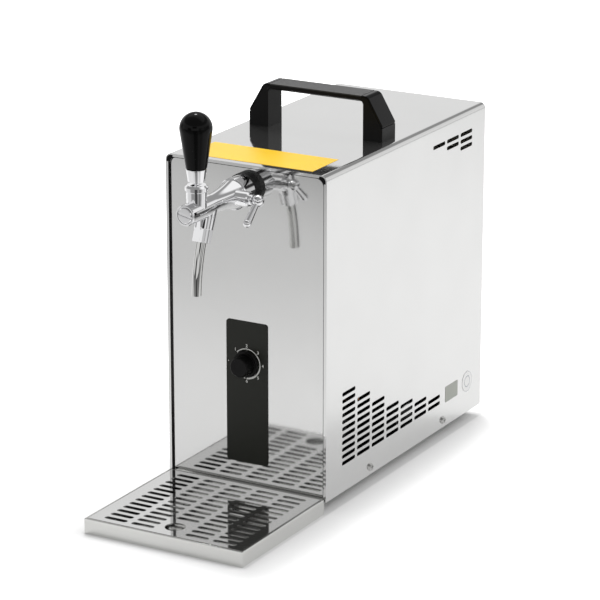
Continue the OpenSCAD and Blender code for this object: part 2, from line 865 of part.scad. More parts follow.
module drip_tray() {
    color([0.8, 0.8, 0.8]) difference() {
        translate([-tray_w / 2, tray_front, 0]) cube([tray_w, tray_d, tray_h]);
        translate([-tray_w / 2 + tray_t, tray_front + tray_t, tray_t])
            cube([tray_w - 2 * tray_t, tray_d - 2 * tray_t, tray_h - tray_t - rim_h]);
        translate([-tray_w / 2 + rim_w, tray_front + rim_w, tray_t])
            cube([tray_w - 2 * rim_w, tray_d - 2 * rim_w, tray_h]);
    }
}

// Plan of the slots in the grille, without those that the finger hole replaces
module grille_slots() {
    for (c = [0:grille_columns - 1], r = [0:grille_rows - 1])
        if (c != (grille_columns - 1) / 2 || r >= hole_rows)
            translate([(c - (grille_columns - 1) / 2) * slot_step_x + slot_shift,
                       (r - (grille_rows - 1) / 2) * slot_step_y])
                slot(slot_len, slot_w);
}

module drip_grille() {
    color([0.82, 0.82, 0.82]) {
        upright(tray_h - grille_t, grille_t) difference() {
            translate([0, grille_y]) square([grille_w, grille_d], center = true);
            translate([0, grille_y]) grille_slots();
            translate([0, finger_hole_y]) circle(finger_hole_d / 2);
        }
        upright(tray_t + fit, tray_h - grille_t - tray_t - fit) translate([0, grille_y]) difference() {
            square([grille_w, grille_d], center = true);
            square([grille_w - 2 * grille_t, grille_d - 2 * grille_t], center = true);
        }
    }
}

module control_plate() {
    color([0.13, 0.13, 0.12]) across(plate_face, plate_t) difference() {
        translate([0, plate_z + plate_h / 2]) rounded(plate_w, plate_h, plate_r);
        translate([0, dial_z]) circle(bush_r + slip);
    }
}

module thermostat_body() {
    color("gainsboro") difference() {
        union() {
            translate([-thermo_w / 2, panel_back, dial_z - thermo_h / 2])
                cube([thermo_w, thermo_d, thermo_h]);
            rod_y(plate_face - bush_out, panel_back + past, 0, dial_z, bush_r);
        }
        rod_y(plate_face - bush_out - past, panel_back + thermo_d / 2, 0, dial_z, dial_shaft_d / 2 + run);
    }
}

module thermostat_nut() {
    color("silver") across(plate_face - bush_out, bush_out) translate([0, dial_z]) difference() {
        circle(dial_nut_r, $fn = 6);
        circle(bush_r);
    }
}

module thermostat_shaft() {
    color("silver") rod_y(plate_face - dial_gap - dial_shaft_in, panel_back + thermo_d / 2 - past,
                          0, dial_z, dial_shaft_d / 2);
}

module thermostat_knob() {
    color([0.07, 0.07, 0.07]) translate([0, plate_face - dial_gap, dial_z]) rotate([90, 0, 0]) difference() {
        union() {
            cylinder(h = dial_skirt_t - edge, r = dial_knob_d / 2);
            translate([0, 0, dial_skirt_t - edge])
                cylinder(h = edge, r1 = dial_knob_d / 2, r2 = dial_knob_d / 2 - edge);
            cylinder(h = dial_knob_h - edge, r1 = dial_grip_r, r2 = dial_face_r);
            translate([0, 0, dial_knob_h - edge])
                cylinder(h = edge, r1 = dial_face_r, r2 = dial_face_r - edge);
        }
        translate([0, 0, -past]) cylinder(h = dial_skirt_t + past, r = dial_nut_r + past);
        translate([0, 0, -past]) cylinder(h = dial_shaft_in + past, r = dial_shaft_d / 2);
    }
}

module thermostat_bulb() {
    route = [[bulb_x, thermo_back, thermo_wire_z], [bulb_x, thermo_back + thermo_wire, thermo_wire_z],
             [bulb_x, thermo_back + thermo_wire, bulb_z], [bulb_x, block_front, bulb_z]];
    color("peru") {
        pipe(route, thermo_wire_bend, capillary_r);
        rod_y(block_front, block_front + bulb_len, bulb_x, bulb_z, bulb_r);
    }
}

module tap_gasket() {
    color([0.05, 0.05, 0.05]) along_tap() rotate_extrude() difference() {
        square([gasket_d / 2, gasket_t]);
        translate([0, -past]) square([shank_r + slip, gasket_t + 2 * past]);
        translate([gasket_d / 2, gasket_t]) rotate(45) square(edge, center = true);
    }
}

module tap_shank() {
    nose_front = body_back + shank_nose_len;
    color("silver") along_tap() difference() {
        union() {
            translate([0, 0, -shank_body]) cylinder(h = shank_body + body_back, r = shank_r);
            translate([0, 0, -shank_tail]) cylinder(h = shank_tail, r = shank_tail_r);
            translate([0, 0, body_back]) cylinder(h = shank_nose_len, r = shank_nose_r);
        }
        translate([0, 0, -shank_tail - past])
            cylinder(h = shank_tail + nose_front + 2 * past, r = shank_bore_r);
    }
}

module shank_nut() {
    color("silver") along_tap() upright(-panel_t - shank_nut_t, shank_nut_t) difference() {
        circle(shank_nut_r, $fn = 6);
        circle(shank_r);
    }
}

module tap_coupling() {
    color([0.88, 0.88, 0.88]) along_tap() rotate_extrude() difference() {
        translate([0, gasket_t]) square([coupling_d / 2, coupling_len]);
        square([shank_r + slip, coupling_front + past]);
        translate([0, body_back]) square([flare_r + slip, coupling_len]);
        translate([coupling_d / 2, coupling_front]) rotate(45) square(coupling_wall, center = true);
    }
}

// Half section of the tap's flare, with its hollow curve running into the neck
module flare_section() {
    difference() {
        translate([0, body_back]) square([flare_r, flare_front - body_back]);
        translate([neck_d / 2 + flare_curve_r, flare_front]) circle(flare_curve_r, $fn = 180);
    }
}

module tap_body() {
    color([0.86, 0.86, 0.86]) along_tap() difference() {
        union() {
            rotate_extrude() flare_section();
            rod_z(flare_front - past, head_back, 0, 0, neck_d / 2);
            translate([0, 0, head_back - head_cone])
                cylinder(h = head_cone, r1 = neck_d / 2, r2 = head_d / 2);
            rod_z(head_back, head_front - edge, 0, 0, head_d / 2);
            translate([0, 0, head_front - edge])
                cylinder(h = edge, r1 = head_d / 2, r2 = head_d / 2 - head_edge);
            rod_x(0, comp_barrel - comp_edge, 0, comp_reach, comp_barrel_r);
            translate([comp_barrel - comp_edge, 0, comp_reach]) rotate([0, 90, 0])
                cylinder(h = comp_edge, r1 = comp_barrel_r, r2 = comp_barrel_r - comp_edge);
            rod_y(0, boss_h, 0, lever_reach, boss_r);
            pipe([[0, 0, nozzle_reach - elbow_r], [0, 0, nozzle_reach], nozzle_foot],
                 elbow_r, neck_d / 2 - elbow_step);
            along_nozzle() {
                cylinder(h = nozzle_len - nozzle_hex_len, r1 = nozzle_r, r2 = nozzle_waist_r);
                translate([0, 0, nozzle_len - nozzle_hex_len]) {
                    cylinder(h = nozzle_hex_edge, r1 = nozzle_waist_r, r2 = nozzle_waist_r - edge);
                    cylinder(h = nozzle_hex_len, r = nozzle_hex_r, $fn = 6);
                }
            }
        }
        rod_z(body_back - past, body_back + shank_nose_len + fit, 0, 0, shank_nose_r + slip);
        rod_z(body_back, head_front - past, 0, 0, valve_r);
        rod_z(plug_seat - plug_thread, head_front, 0, 0, plug_thread_r + slip);
        rod_z(plug_seat, head_front + past, 0, 0, plug_r + plug_gap);
        rod_x(0, comp_barrel + past, 0, comp_reach, spindle_r + run);
        rod_x(comp_barrel - gland_thread, comp_barrel + past, 0, comp_reach, gland_thread_r + slip);
        rod_y(0, boss_h + past, 0, lever_reach, boss_bore_r);
        along_nozzle() cylinder(h = nozzle_len + past, r = spout_r + slip);
    }
}

module tap_plug() {
    color([0.86, 0.86, 0.86]) along_tap() translate([0, 0, plug_seat]) difference() {
        union() {
            translate([0, 0, -plug_thread + fit]) cylinder(h = plug_thread, r = plug_thread_r);
            cylinder(h = plug_head - edge, r = plug_r);
            translate([0, 0, plug_head - edge]) cylinder(h = edge, r1 = plug_r, r2 = plug_r - edge);
        }
        rotate(-plug_slot_turn) translate([-plug_r - past, -plug_slot_w / 2, plug_head - plug_slot_depth])
            cube([2 * (plug_r + past), plug_slot_w, plug_slot_depth + past]);
    }
}

// Spout: a straight end held in the nozzle and one long bend down to its tip
module tap_spout() {
    color([0.86, 0.86, 0.86]) along_tap() along_nozzle() translate([0, 0, nozzle_len]) {
        upright(-spout_socket, spout_socket) ring(spout_r, spout_r - spout_t);
        translate([0, -spout_bend_r, 0]) rotate([90, 0, 90])
            rotate_extrude(angle = nozzle_lean - spout_lean)
                translate([spout_bend_r, 0]) ring(spout_r, spout_r - spout_t);
    }
}

// Plunger: a rod with a boss, notched wide enough for the lever's tip and for its swinging tail
module tap_plunger() {
    notch = tip_r + plunger_gap;
    mouth = notch + (plunger_r + past) * tan(tilt_forward);
    color("silver") difference() {
        along_tap() {
            rod_z(plunger_back, lever_reach, 0, 0, rod_r);
            rod_z(lever_reach - plunger_boss, lever_reach + plunger_boss, 0, 0, plunger_r);
        }
        at_lever() sideways(-notch, 2 * notch) polygon([
            [-notch, -notch], [notch, -notch], [notch, 0], [mouth, plunger_r + past],
            [-mouth, plunger_r + past], [-notch, 0]]);
    }
}

module plunger_seals() {
    color([0.1, 0.1, 0.1]) along_tap() for (z = seal_places) upright(z, seal_t) ring(plunger_r, rod_r);
}

module lever_bonnet() {
    slot_h = bonnet_top - pivot_h + past;
    half = stem_r + stem_gap;
    color([0.86, 0.86, 0.86]) at_lever() difference() {
        union() {
            rod_z(boss_h, bonnet_groove_z, 0, 0, bonnet_ring_r);
            rod_z(boss_h, bonnet_cone_z, 0, 0, bonnet_groove_r);
            rod_z(bonnet_collar_z, bonnet_cone_z, 0, 0, bonnet_collar_r);
            translate([0, 0, bonnet_cone_z])
                cylinder(h = bonnet_top - bonnet_cone_z, r1 = bonnet_collar_r, r2 = bonnet_top_r);
        }
        rod_z(boss_h - past, pivot_h, 0, 0, boss_bore_r);
        translate([0, 0, pivot_h]) sphere(ball_r + ball_gap);
        rod_x(-pin_len / 2 - fit, pin_len / 2 + fit, 0, pivot_h, pin_r + run);
        translate([0, 0, pivot_h]) sideways(-half, 2 * half) polygon([
            [-half / cos(tilt_forward), 0], [half / cos(tilt_back), 0],
            [half / cos(tilt_back) + slot_h * tan(tilt_back), slot_h],
            [-half / cos(tilt_forward) - slot_h * tan(tilt_forward), slot_h]]);
    }
}

// Lever: a ball on a cross pin, with a stem for the knob above and a tip for the plunger below
module tap_lever() {
    color("silver") at_lever() {
        translate([0, 0, pivot_h]) sphere(ball_r);
        rod_x(-pin_len / 2, pin_len / 2, 0, pivot_h, pin_r);
        rod_z(pivot_h, stem_top, 0, 0, stem_r);
        rod_z(0, pivot_h, 0, 0, tail_r);
        sphere(tip_r);
    }
}

module lever_ferrule() {
    color([0.88, 0.88, 0.88]) at_lever() translate([0, 0, ferrule_z]) difference() {
        cylinder(h = ferrule_h, r1 = ferrule_foot_r, r2 = ferrule_top_r);
        translate([0, 0, -past]) cylinder(h = ferrule_h + 2 * past, r = stem_r);
    }
}

// Half section of the tap's knob: a ball with a cone that runs off it at a tangent
module knob_section() {
    centre = knob_h - knob_r;
    foot_r = knob_foot_d / 2;
    reach = norm([foot_r, centre]);
    rise = acos(knob_r / reach) - atan2(centre, foot_r);
    touch = [knob_r * cos(rise), centre + knob_r * sin(rise)];
    polygon([[0, 0], [foot_r - 1, 0], [foot_r, 1], touch, [0, touch[1]]]);
    intersection() {
        translate([0, centre]) circle(knob_r, $fn = 96);
        translate([0, touch[1]]) square([knob_r, knob_h - touch[1]]);
    }
}

module tap_knob() {
    color([0.04, 0.04, 0.04]) at_lever() translate([0, 0, knob_z]) difference() {
        rotate_extrude() knob_section();
        translate([0, 0, -past]) cylinder(h = stem_top - knob_z + past, r = stem_r);
    }
}

// Cone with a tab that the crank pin moves to and fro along the tap's axis
module compensator_cone() {
    slot_z = crank_pin_r + crank_gap;
    disc = comp_reach + cone_tab - past;
    color("white") along_tap() difference() {
        union() {
            rod_z(disc, disc + cone_disc_t, 0, 0, plunger_r);
            translate([0, 0, disc + cone_disc_t])
                cylinder(h = cone_len - cone_disc_t, r1 = plunger_r, r2 = plunger_r / 3);
            translate([-crank_pin_in, -2 * crank_r, comp_reach - cone_tab])
                cube([2 * crank_pin_in, 4 * crank_r, 2 * cone_tab]);
        }
        translate([-plunger_r, crank_r - 2 * crank_pin_r, comp_reach - slot_z])
            cube([2 * plunger_r, 4 * crank_pin_r + past, 2 * slot_z]);
    }
}

module compensator_nut() {
    color([0.86, 0.86, 0.86]) along_tap() difference() {
        union() {
            rod_x(comp_barrel - gland_thread + fit, comp_barrel, 0, comp_reach, gland_thread_r);
            rod_x(comp_barrel, comp_barrel + gland_len - edge, 0, comp_reach, gland_r);
            translate([comp_barrel + gland_len - edge, 0, comp_reach]) rotate([0, 90, 0])
                cylinder(h = edge, r1 = gland_r, r2 = gland_r - edge);
        }
        rod_x(0, comp_barrel + gland_len + past, 0, comp_reach, spindle_r + run);
    }
}

// Ball-shaped hub with a flat towards the gland, and a round lever that grows thicker to its tip
module compensator_lever() {
    rod = wing_len - wing_tip_r;
    color([0.86, 0.86, 0.86]) along_tap() {
        rod_x(spindle_in, hub_x, 0, comp_reach, spindle_r);
        rod_x(-crank_pin_in, spindle_in, crank_r, comp_reach, crank_pin_r);
        translate([hub_x, 0, comp_reach]) {
            difference() {
                sphere(hub_r);
                translate([-2 * hub_r - hub_in, -hub_r, -hub_r]) cube(2 * hub_r);
            }
            rotate([wing_drop, 0, 0]) {
                cylinder(h = rod, r1 = wing_root_r, r2 = wing_end_r);
                translate([0, 0, rod]) sphere(wing_tip_r);
            }
        }
    }
}

module inner_shelf() {
    leg_ys = [for (y = [vent_front, shelf_back]) y - shelf_leg_inset - shelf_leg_w];
    color("lightgray") difference() {
        union() {
            translate([-base_w / 2, panel_back, shelf_z]) cube([base_w, shelf_back - panel_back, base_t]);
            for (m = [0, 1], y = leg_ys) mirror([m, 0, 0]) translate([floor_half - fit - base_t, y, floor_z])
                cube([base_t, shelf_leg_w, shelf_z - floor_z + base_t / 2]);
        }
        rod_z(shelf_z - past, shelf_z + base_t + past, bulb_x, thermo_back + thermo_wire, capillary_r + past);
    }
}

module insulation_box() {
    tail_y = panel_recess + shank_tail;
    color("white") difference() {
        translate([-foam_w / 2, foam_front, foam_z])
            cube([foam_w, foam_back - foam_front, lid_z - foam_z]);
        translate([-foam_w / 2 + foam_t, cavity_front, foam_z + foam_t])
            cube([foam_w - 2 * foam_t, cavity_back - cavity_front, lid_z]);
        rod_y(foam_front - past, cavity_front + past, 0, tap_z, shank_tail_r + slip);
        rod_y(foam_front - past, cavity_front + past, bulb_x, bulb_z, capillary_r + slip);
        rod_y(cavity_back - past, foam_back + past, beer_xs[0], beer_z, beer_r + slip);
        for (z = evap_zs) rod_y(cavity_back - past, foam_back + past, -evap_x, z, gas_r + slip);
    }
}

module insulation_lid() {
    color("white") translate([-foam_w / 2, foam_front, lid_z]) cube([foam_w, foam_back - foam_front, lid_t]);
}

module cooling_block() {
    back = block_front + block_d;
    color("gainsboro") difference() {
        translate([-block_w / 2, block_front, block_z]) cube([block_w, block_d, block_top - block_z]);
        for (x = beer_xs) rod_y(block_front - past, back + past, x, beer_z, beer_r + slip);
        for (x = [-1, 1], z = evap_zs) rod_y(block_front - past, back + past, x * evap_x, z, gas_r + slip);
        rod_y(block_front - past, block_front + bulb_len + past, bulb_x, bulb_z, bulb_r + slip);
    }
}

// Beer tube: in at the back, to and fro through the block, then over it to the tap
module beer_coil() {
    route = [[beer_xs[0], fitting_bore_y - past, beer_z], [beer_xs[0], beer_front, beer_z],
             [beer_xs[1], beer_front, beer_z], [beer_xs[1], beer_back, beer_z],
             [beer_xs[2], beer_back, beer_z], [beer_xs[2], beer_front, beer_z],
             [beer_xs[3], beer_front, beer_z], [beer_xs[3], beer_back, beer_z],
             [beer_xs[3], beer_back, tap_z], [0, beer_back, tap_z], [0, panel_recess + shank_tail, tap_z]];
    color("silver") pipe(route, beer_bend - slip, beer_r, beer_r - beer_wall);
}

module evaporator_pipe() {
    route = [[-evap_x, evap_end, evap_zs[0]], [-evap_x, beer_front, evap_zs[0]],
             [evap_x, beer_front, evap_zs[0]], [evap_x, beer_back, evap_zs[0]],
             [evap_x, beer_back, evap_zs[1]], [evap_x, beer_front, evap_zs[1]],
             [-evap_x, beer_front, evap_zs[1]], [-evap_x, evap_end, evap_zs[1]]];
    color("peru") pipe(route, evap_bend - slip, gas_r, gas_r - gas_wall);
}

module compressor() {
    color([0.1, 0.1, 0.1]) difference() {
        union() {
            translate([pot_x, pot_y, pot_z]) rotate_extrude() intersection() {
                square([pot_r, pot_h]);
                translate([0, pot_h / 2]) rounded(2 * pot_r, pot_h, pot_round);
            }
            translate([pot_x, pot_y, pot_z + (pot_h - pot_seam_h) / 2])
                cylinder(h = pot_seam_h, r = pot_r + pot_seam);
            translate([pot_x - pot_plate / 2, pot_y - pot_plate / 2, pot_z])
                cube([pot_plate, pot_plate, pot_plate_t]);
            for (p = [suction_place, discharge_place])
                rod_z(pot_top - stub_len, stub_top, p[0], p[1], stub_r);
            rod_y(relay_y + relay_size[1], pot_y, pot_x, pot_z + relay_rise + relay_size[2] / 2, terminal_r);
        }
        for (p = pot_bolt_places) rod_z(pot_z - past, pot_z + pot_plate_t + past, p[0], p[1], pot_bolt_r);
    }
}

module compressor_grommets() {
    color([0.08, 0.08, 0.08]) for (p = pot_bolt_places)
        translate([p[0], p[1], floor_z]) linear_extrude(grommet_h) ring(grommet_r, pot_bolt_r);
}

module compressor_bolts() {
    color("silver") for (p = pot_bolt_places)
        translate([p[0], p[1], pot_z + pot_plate_t])
            screw(pot_bolt_r, bolt_head_r, bolt_head_h, pot_plate_t + grommet_h + base_t);
}

module relay_box() {
    color([0.12, 0.12, 0.12]) translate([pot_x - relay_size[0] / 2, relay_y, pot_z + relay_rise])
        cube(relay_size);
}

// Condenser: fins tied by rails between two end plates that stand on the floor
module condenser_fins() {
    count = floor((cond_w / 2 - cond_end_t) / fin_step);
    color("silver") {
        for (i = [-count:count]) sideways(i * fin_step - fin_t / 2, fin_t) fin_outline(cond_z);
        for (m = [0, 1]) mirror([m, 0, 0]) sideways(cond_w / 2 - cond_end_t, cond_end_t) fin_outline(floor_z);
        for (y = [cond_y, cond_back - rail_t], z = [cond_z, cond_top - rail_t])
            translate([-cond_w / 2 + cond_end_t / 2, y, z]) cube([cond_w - cond_end_t, rail_t, rail_t]);
    }
}

// Side view of a fin or end plate that stands on z0, with holes for the pipe
module fin_outline(z0) {
    difference() {
        translate([cond_y, z0]) square([cond_d, cond_top - z0]);
        for (y = cond_columns, z = cond_row_zs) translate([y, z]) circle(gas_r);
    }
}

// Condenser pipe: down the back column and up the front one, turning outside the end plates
module condenser_pipe() {
    last = cond_rows - 1;
    down = [for (i = [0:last], e = [0, 1])
        [(i % 2 == e ? -1 : 1) * cond_turn, cond_columns[0], cond_row_zs[i]]];
    up = [for (i = [0:last], e = [0, 1])
        [(i % 2 == e ? 1 : -1) * cond_turn, cond_columns[1], cond_row_zs[last - i]]];
    ends = [for (y = cond_columns) [-cond_turn, y, cond_end_z]];
    color("peru") pipe(concat([ends[0]], down, up, [ends[1]]), gas_bend, gas_r, gas_r - gas_wall);
}

module fan_shroud() {
    ring_r = fan_r + fan_gap;
    color([0.15, 0.15, 0.15]) {
        across(cond_back, shroud_t) translate([0, fan_z]) difference() {
            square([cond_w, cond_h], center = true);
            circle(ring_r);
        }
        across(cond_back + shroud_t, shroud_ring_d) translate([0, fan_z])
            ring(ring_r + shroud_ring_t, ring_r);
        across(fan_bar_y, fan_bar_t) translate([0, fan_z]) difference() {
            for (a = [45, 135]) rotate(a) square([2 * (ring_r + shroud_ring_t), fan_bar_w], center = true);
            circle(fan_shaft_r + fan_shaft_gap);
        }
    }
}

module fan_motor() {
    color("silver") difference() {
        rod_y(fan_motor_y, fan_motor_back, 0, fan_z, fan_motor_r);
        rod_y(fan_motor_y - past, fan_motor_back - fan_shaft_end + past, 0, fan_z, fan_shaft_r + run);
    }
}

// Fan: a hub with its shaft and pitched blades
module fan_blades() {
    color([0.2, 0.2, 0.2]) translate([0, fan_mid_y, fan_z]) {
        rod_y(-fan_hub_d / 2, fan_hub_d / 2, 0, 0, fan_hub_r);
        rod_y(0, fan_motor_back - fan_shaft_end - fan_mid_y, 0, 0, fan_shaft_r);
        for (i = [0:fan_blades_n - 1]) rotate([0, i * 360 / fan_blades_n, 0]) rotate([fan_pitch, 0, 0])
            translate([fan_hub_r - fan_root, -fan_blade_t / 2, -fan_chord / 2])
                cube([fan_r - fan_tip_gap - fan_hub_r + fan_root, fan_blade_t, fan_chord]);
    }
}

module filter_drier() {
    color("peru") rod_z(cond_end_z - drier_len, cond_end_z, drier_place[0], drier_place[1], drier_r);
}

// Separate pipes of the cooling circuit: discharge, liquid, capillary and suction
module refrigerant_pipes() {
    high = shelf_z - stub_len;
    low = cond_end_z + gas_bend + past;
    drier_foot = cond_end_z - drier_len;
    drier_end = drier_foot - drier_tail;
    side_x = pot_x + pot_r + pot_seam + capillary_side;
    rear_run = evap_end + evap_joint;
    discharge = [[discharge_place[0], discharge_place[1], stub_top],
                 [discharge_place[0], discharge_place[1], high], [-cond_turn, discharge_place[1], high],
                 [-cond_turn, cond_columns[0], high], [-cond_turn, cond_columns[0], cond_end_z]];
    liquid = [[-cond_turn, cond_columns[1], cond_end_z], [-cond_turn, cond_columns[1], low],
              [drier_place[0], cond_columns[1], low], [drier_place[0], drier_place[1], low],
              [drier_place[0], drier_place[1], cond_end_z]];
    capillary = [[drier_place[0], drier_place[1], drier_foot], [drier_place[0], drier_place[1], drier_end],
                 [side_x, drier_place[1], drier_end], [side_x, drier_place[1], low], [side_x, rear_run, low],
                 [side_x, rear_run, evap_zs[0]], [-evap_x, rear_run, evap_zs[0]],
                 [-evap_x, evap_end, evap_zs[0]]];
    suction = [[-evap_x, evap_end, evap_zs[1]], [suction_place[0], suction_place[1], evap_zs[1]],
               [suction_place[0], suction_place[1], stub_top]];
    color("peru") {
        for (route = [discharge, liquid, suction]) pipe(route, gas_bend, gas_r, gas_r - gas_wall);
        pipe(capillary, capillary_bend, capillary_r);
    }
}

module air_pump() {
    mid_y = pump_y + pump_size[1] / 2;
    top = floor_z + pump_size[2];
    color([0.25, 0.25, 0.28]) {
        translate([pump_x, pump_y, floor_z]) cube(pump_size);
        rod_x(pump_x - pump_motor_len, pump_x + past, mid_y, floor_z + pump_size[2] / 2, pump_motor_r);
        rod_z(top - past, top + pump_nozzle, air_place[0], mid_y, air_hose_r);
    }
}

module air_hose() {
    start = [air_place[0], pump_y + pump_size[1] / 2, floor_z + pump_size[2] + pump_nozzle];
    route = [start, [start[0], start[1], air_place[1]],
             [start[0], casing_d - fitting_in + past, air_place[1]]];
    color([0.9, 0.9, 0.9]) pipe(route, air_bend, air_hose_r, air_hose_r - air_wall);
}

// Fitting at a place in the rear panel: a hose pushes in from behind, the tube inside comes from the front
module hose_fitting(place, tube_r) {
    outer = casing_d + fitting_out;
    difference() {
        union() {
            rod_y(casing_d - fitting_in, casing_d + past, place[0], place[1], fitting_r);
            rod_y(casing_d, casing_d + fitting_flange_t, place[0], place[1], fitting_flange_r);
            rod_y(casing_d, outer, place[0], place[1], fitting_r - fitting_step);
        }
        rod_y(fitting_bore_y, outer + past, place[0], place[1], fitting_bore_r);
        rod_y(casing_d - fitting_in - past, outer, place[0], place[1], tube_r + slip);
    }
}

module hose_fittings() {
    color([0.85, 0.85, 0.83]) {
        hose_fitting(hose_places[0], beer_r);
        hose_fitting(hose_places[1], air_hose_r);
    }
}

module cable_gland() {
    x = gland_place[0];
    z = gland_place[1];
    color([0.1, 0.1, 0.1]) difference() {
        union() {
            rod_y(rear_y - cable_gland_in, casing_d + past, x, z, cable_gland_r);
            across(casing_d, cable_nut_t) translate([x, z]) circle(cable_nut_r, $fn = 6);
            rod_y(casing_d, casing_d + cable_gland_out, x, z, cable_cap_r);
        }
        rod_y(rear_y - cable_gland_in - past, casing_d + cable_gland_out + past, x, z, cable_r);
    }
}

stand() {
    base_plate();
    rubber_feet();
    foot_screws();
    front_panel();
    front_trim();
    casing_cover();
    rear_panel();
    cover_screws();
    rear_screws();
    carry_handle();
    handle_caps();
    handle_screws();
    top_label();
    side_labels();
    drip_tray();
    drip_grille();
    control_plate();
    thermostat_body();
    thermostat_nut();
    thermostat_shaft();
    thermostat_knob();
    thermostat_bulb();
    tap_gasket();
    tap_shank();
    shank_nut();
    tap_coupling();
    tap_body();
    tap_plug();
    tap_spout();
    tap_plunger();
    plunger_seals();
    lever_bonnet();
    tap_lever();
    lever_ferrule();
    tap_knob();
    compensator_cone();
    compensator_nut();
    compensator_lever();
    inner_shelf();
    insulation_box();
    insulation_lid();
    cooling_block();
    beer_coil();
    evaporator_pipe();
    compressor();
    compressor_grommets();
    compressor_bolts();
    relay_box();
    condenser_fins();
    condenser_pipe();
    fan_shroud();
    fan_motor();
    fan_blades();
    filter_drier();
    refrigerant_pipes();
    air_pump();
    air_hose();
    hose_fittings();
    cable_gland();
}
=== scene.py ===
"""Studio scene of a countertop draft beer dispenser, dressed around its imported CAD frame.

Lengths are in metres in the row frame: +X to the right of the person who pours, -Y towards them, +Z up.
"""

import json
import logging
import math
from collections.abc import Callable
from dataclasses import dataclass, field, replace
from enum import Enum

import bpy
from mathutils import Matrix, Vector


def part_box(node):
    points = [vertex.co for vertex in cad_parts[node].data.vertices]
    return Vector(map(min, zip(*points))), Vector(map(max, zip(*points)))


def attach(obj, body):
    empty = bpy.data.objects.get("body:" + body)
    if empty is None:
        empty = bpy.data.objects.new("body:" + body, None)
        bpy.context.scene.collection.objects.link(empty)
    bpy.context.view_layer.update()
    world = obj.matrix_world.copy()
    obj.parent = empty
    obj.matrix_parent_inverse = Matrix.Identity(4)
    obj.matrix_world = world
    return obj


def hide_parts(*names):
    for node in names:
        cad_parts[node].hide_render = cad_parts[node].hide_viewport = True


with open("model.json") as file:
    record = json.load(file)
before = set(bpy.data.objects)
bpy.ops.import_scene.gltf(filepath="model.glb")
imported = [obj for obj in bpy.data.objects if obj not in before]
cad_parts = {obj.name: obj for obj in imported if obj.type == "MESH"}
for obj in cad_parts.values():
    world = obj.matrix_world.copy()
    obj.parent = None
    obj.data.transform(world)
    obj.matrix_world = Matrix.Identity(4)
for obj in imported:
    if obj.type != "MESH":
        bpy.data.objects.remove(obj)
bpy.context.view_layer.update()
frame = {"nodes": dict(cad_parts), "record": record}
LOG = logging.getLogger("dispenser")
MM = 0.001
BLACK = (0.0, 0.0, 0.0)
WHITE = (1.0, 1.0, 1.0)
Pair = tuple[float, float]
Triple = tuple[float, float, float]
Stops = tuple[Pair, ...]
SpotTest = Callable[[Vector], bool]


class Grain(Enum):
    """Direction in which a surface was polished, as the stretch of its grain along X, Y and Z."""

    EVEN = (1.0, 1.0, 1.0)
    ALONG_X = (0.03, 1.0, 1.0)
    ALONG_Z = (1.0, 1.0, 0.03)


def grey(level: float) -> Triple:
    """Colour with three equal parts."""
    return (level, level, level)


def shade(colour: Triple, factor: float) -> Triple:
    """Colour made lighter or darker by a factor."""
    return tuple(min(1.0, part * factor) for part in colour)


def tinted(colour: Triple, tint: float) -> tuple[Triple, Triple]:
    """Colour made darker, and made lighter, by a share."""
    return shade(colour, 1 - tint), shade(colour, 1 + tint)


@dataclass
class Socket:
    """Output of a shader node, with arithmetic that adds math nodes."""

    graph: "Graph"
    out: bpy.types.NodeSocket

    def math(self, operation: str, *others: "Socket | float") -> "Socket":
        """Result of a math node that takes this value and then the others."""
        return self.graph.math(operation, self, *others)

    def __add__(self, other: "Socket | float") -> "Socket":
        """Sum with another value."""
        return self.math("ADD", other)

    def __radd__(self, other: float) -> "Socket":
        """Sum with a number on the left."""
        return self.math("ADD", other)

    def __sub__(self, other: "Socket | float") -> "Socket":
        """This value less another."""
        return self.math("SUBTRACT", other)

    def __rsub__(self, other: float) -> "Socket":
        """A number less this value."""
        return self.graph.math("SUBTRACT", other, self)

    def __mul__(self, other: "Socket | float") -> "Socket":
        """Product with another value."""
        return self.math("MULTIPLY", other)

    def __rmul__(self, other: float) -> "Socket":
        """Product with a number on the left."""
        return self.math("MULTIPLY", other)

    def step(self, start: float, end: float) -> "Socket":
        """Smooth step of this value, from 0 at the start to 1 at the end."""
        sockets = {"Value": self, "From Min": start, "From Max": end}
        return self.graph.node("ShaderNodeMapRange", {"interpolation_type": "SMOOTHSTEP"}, sockets)


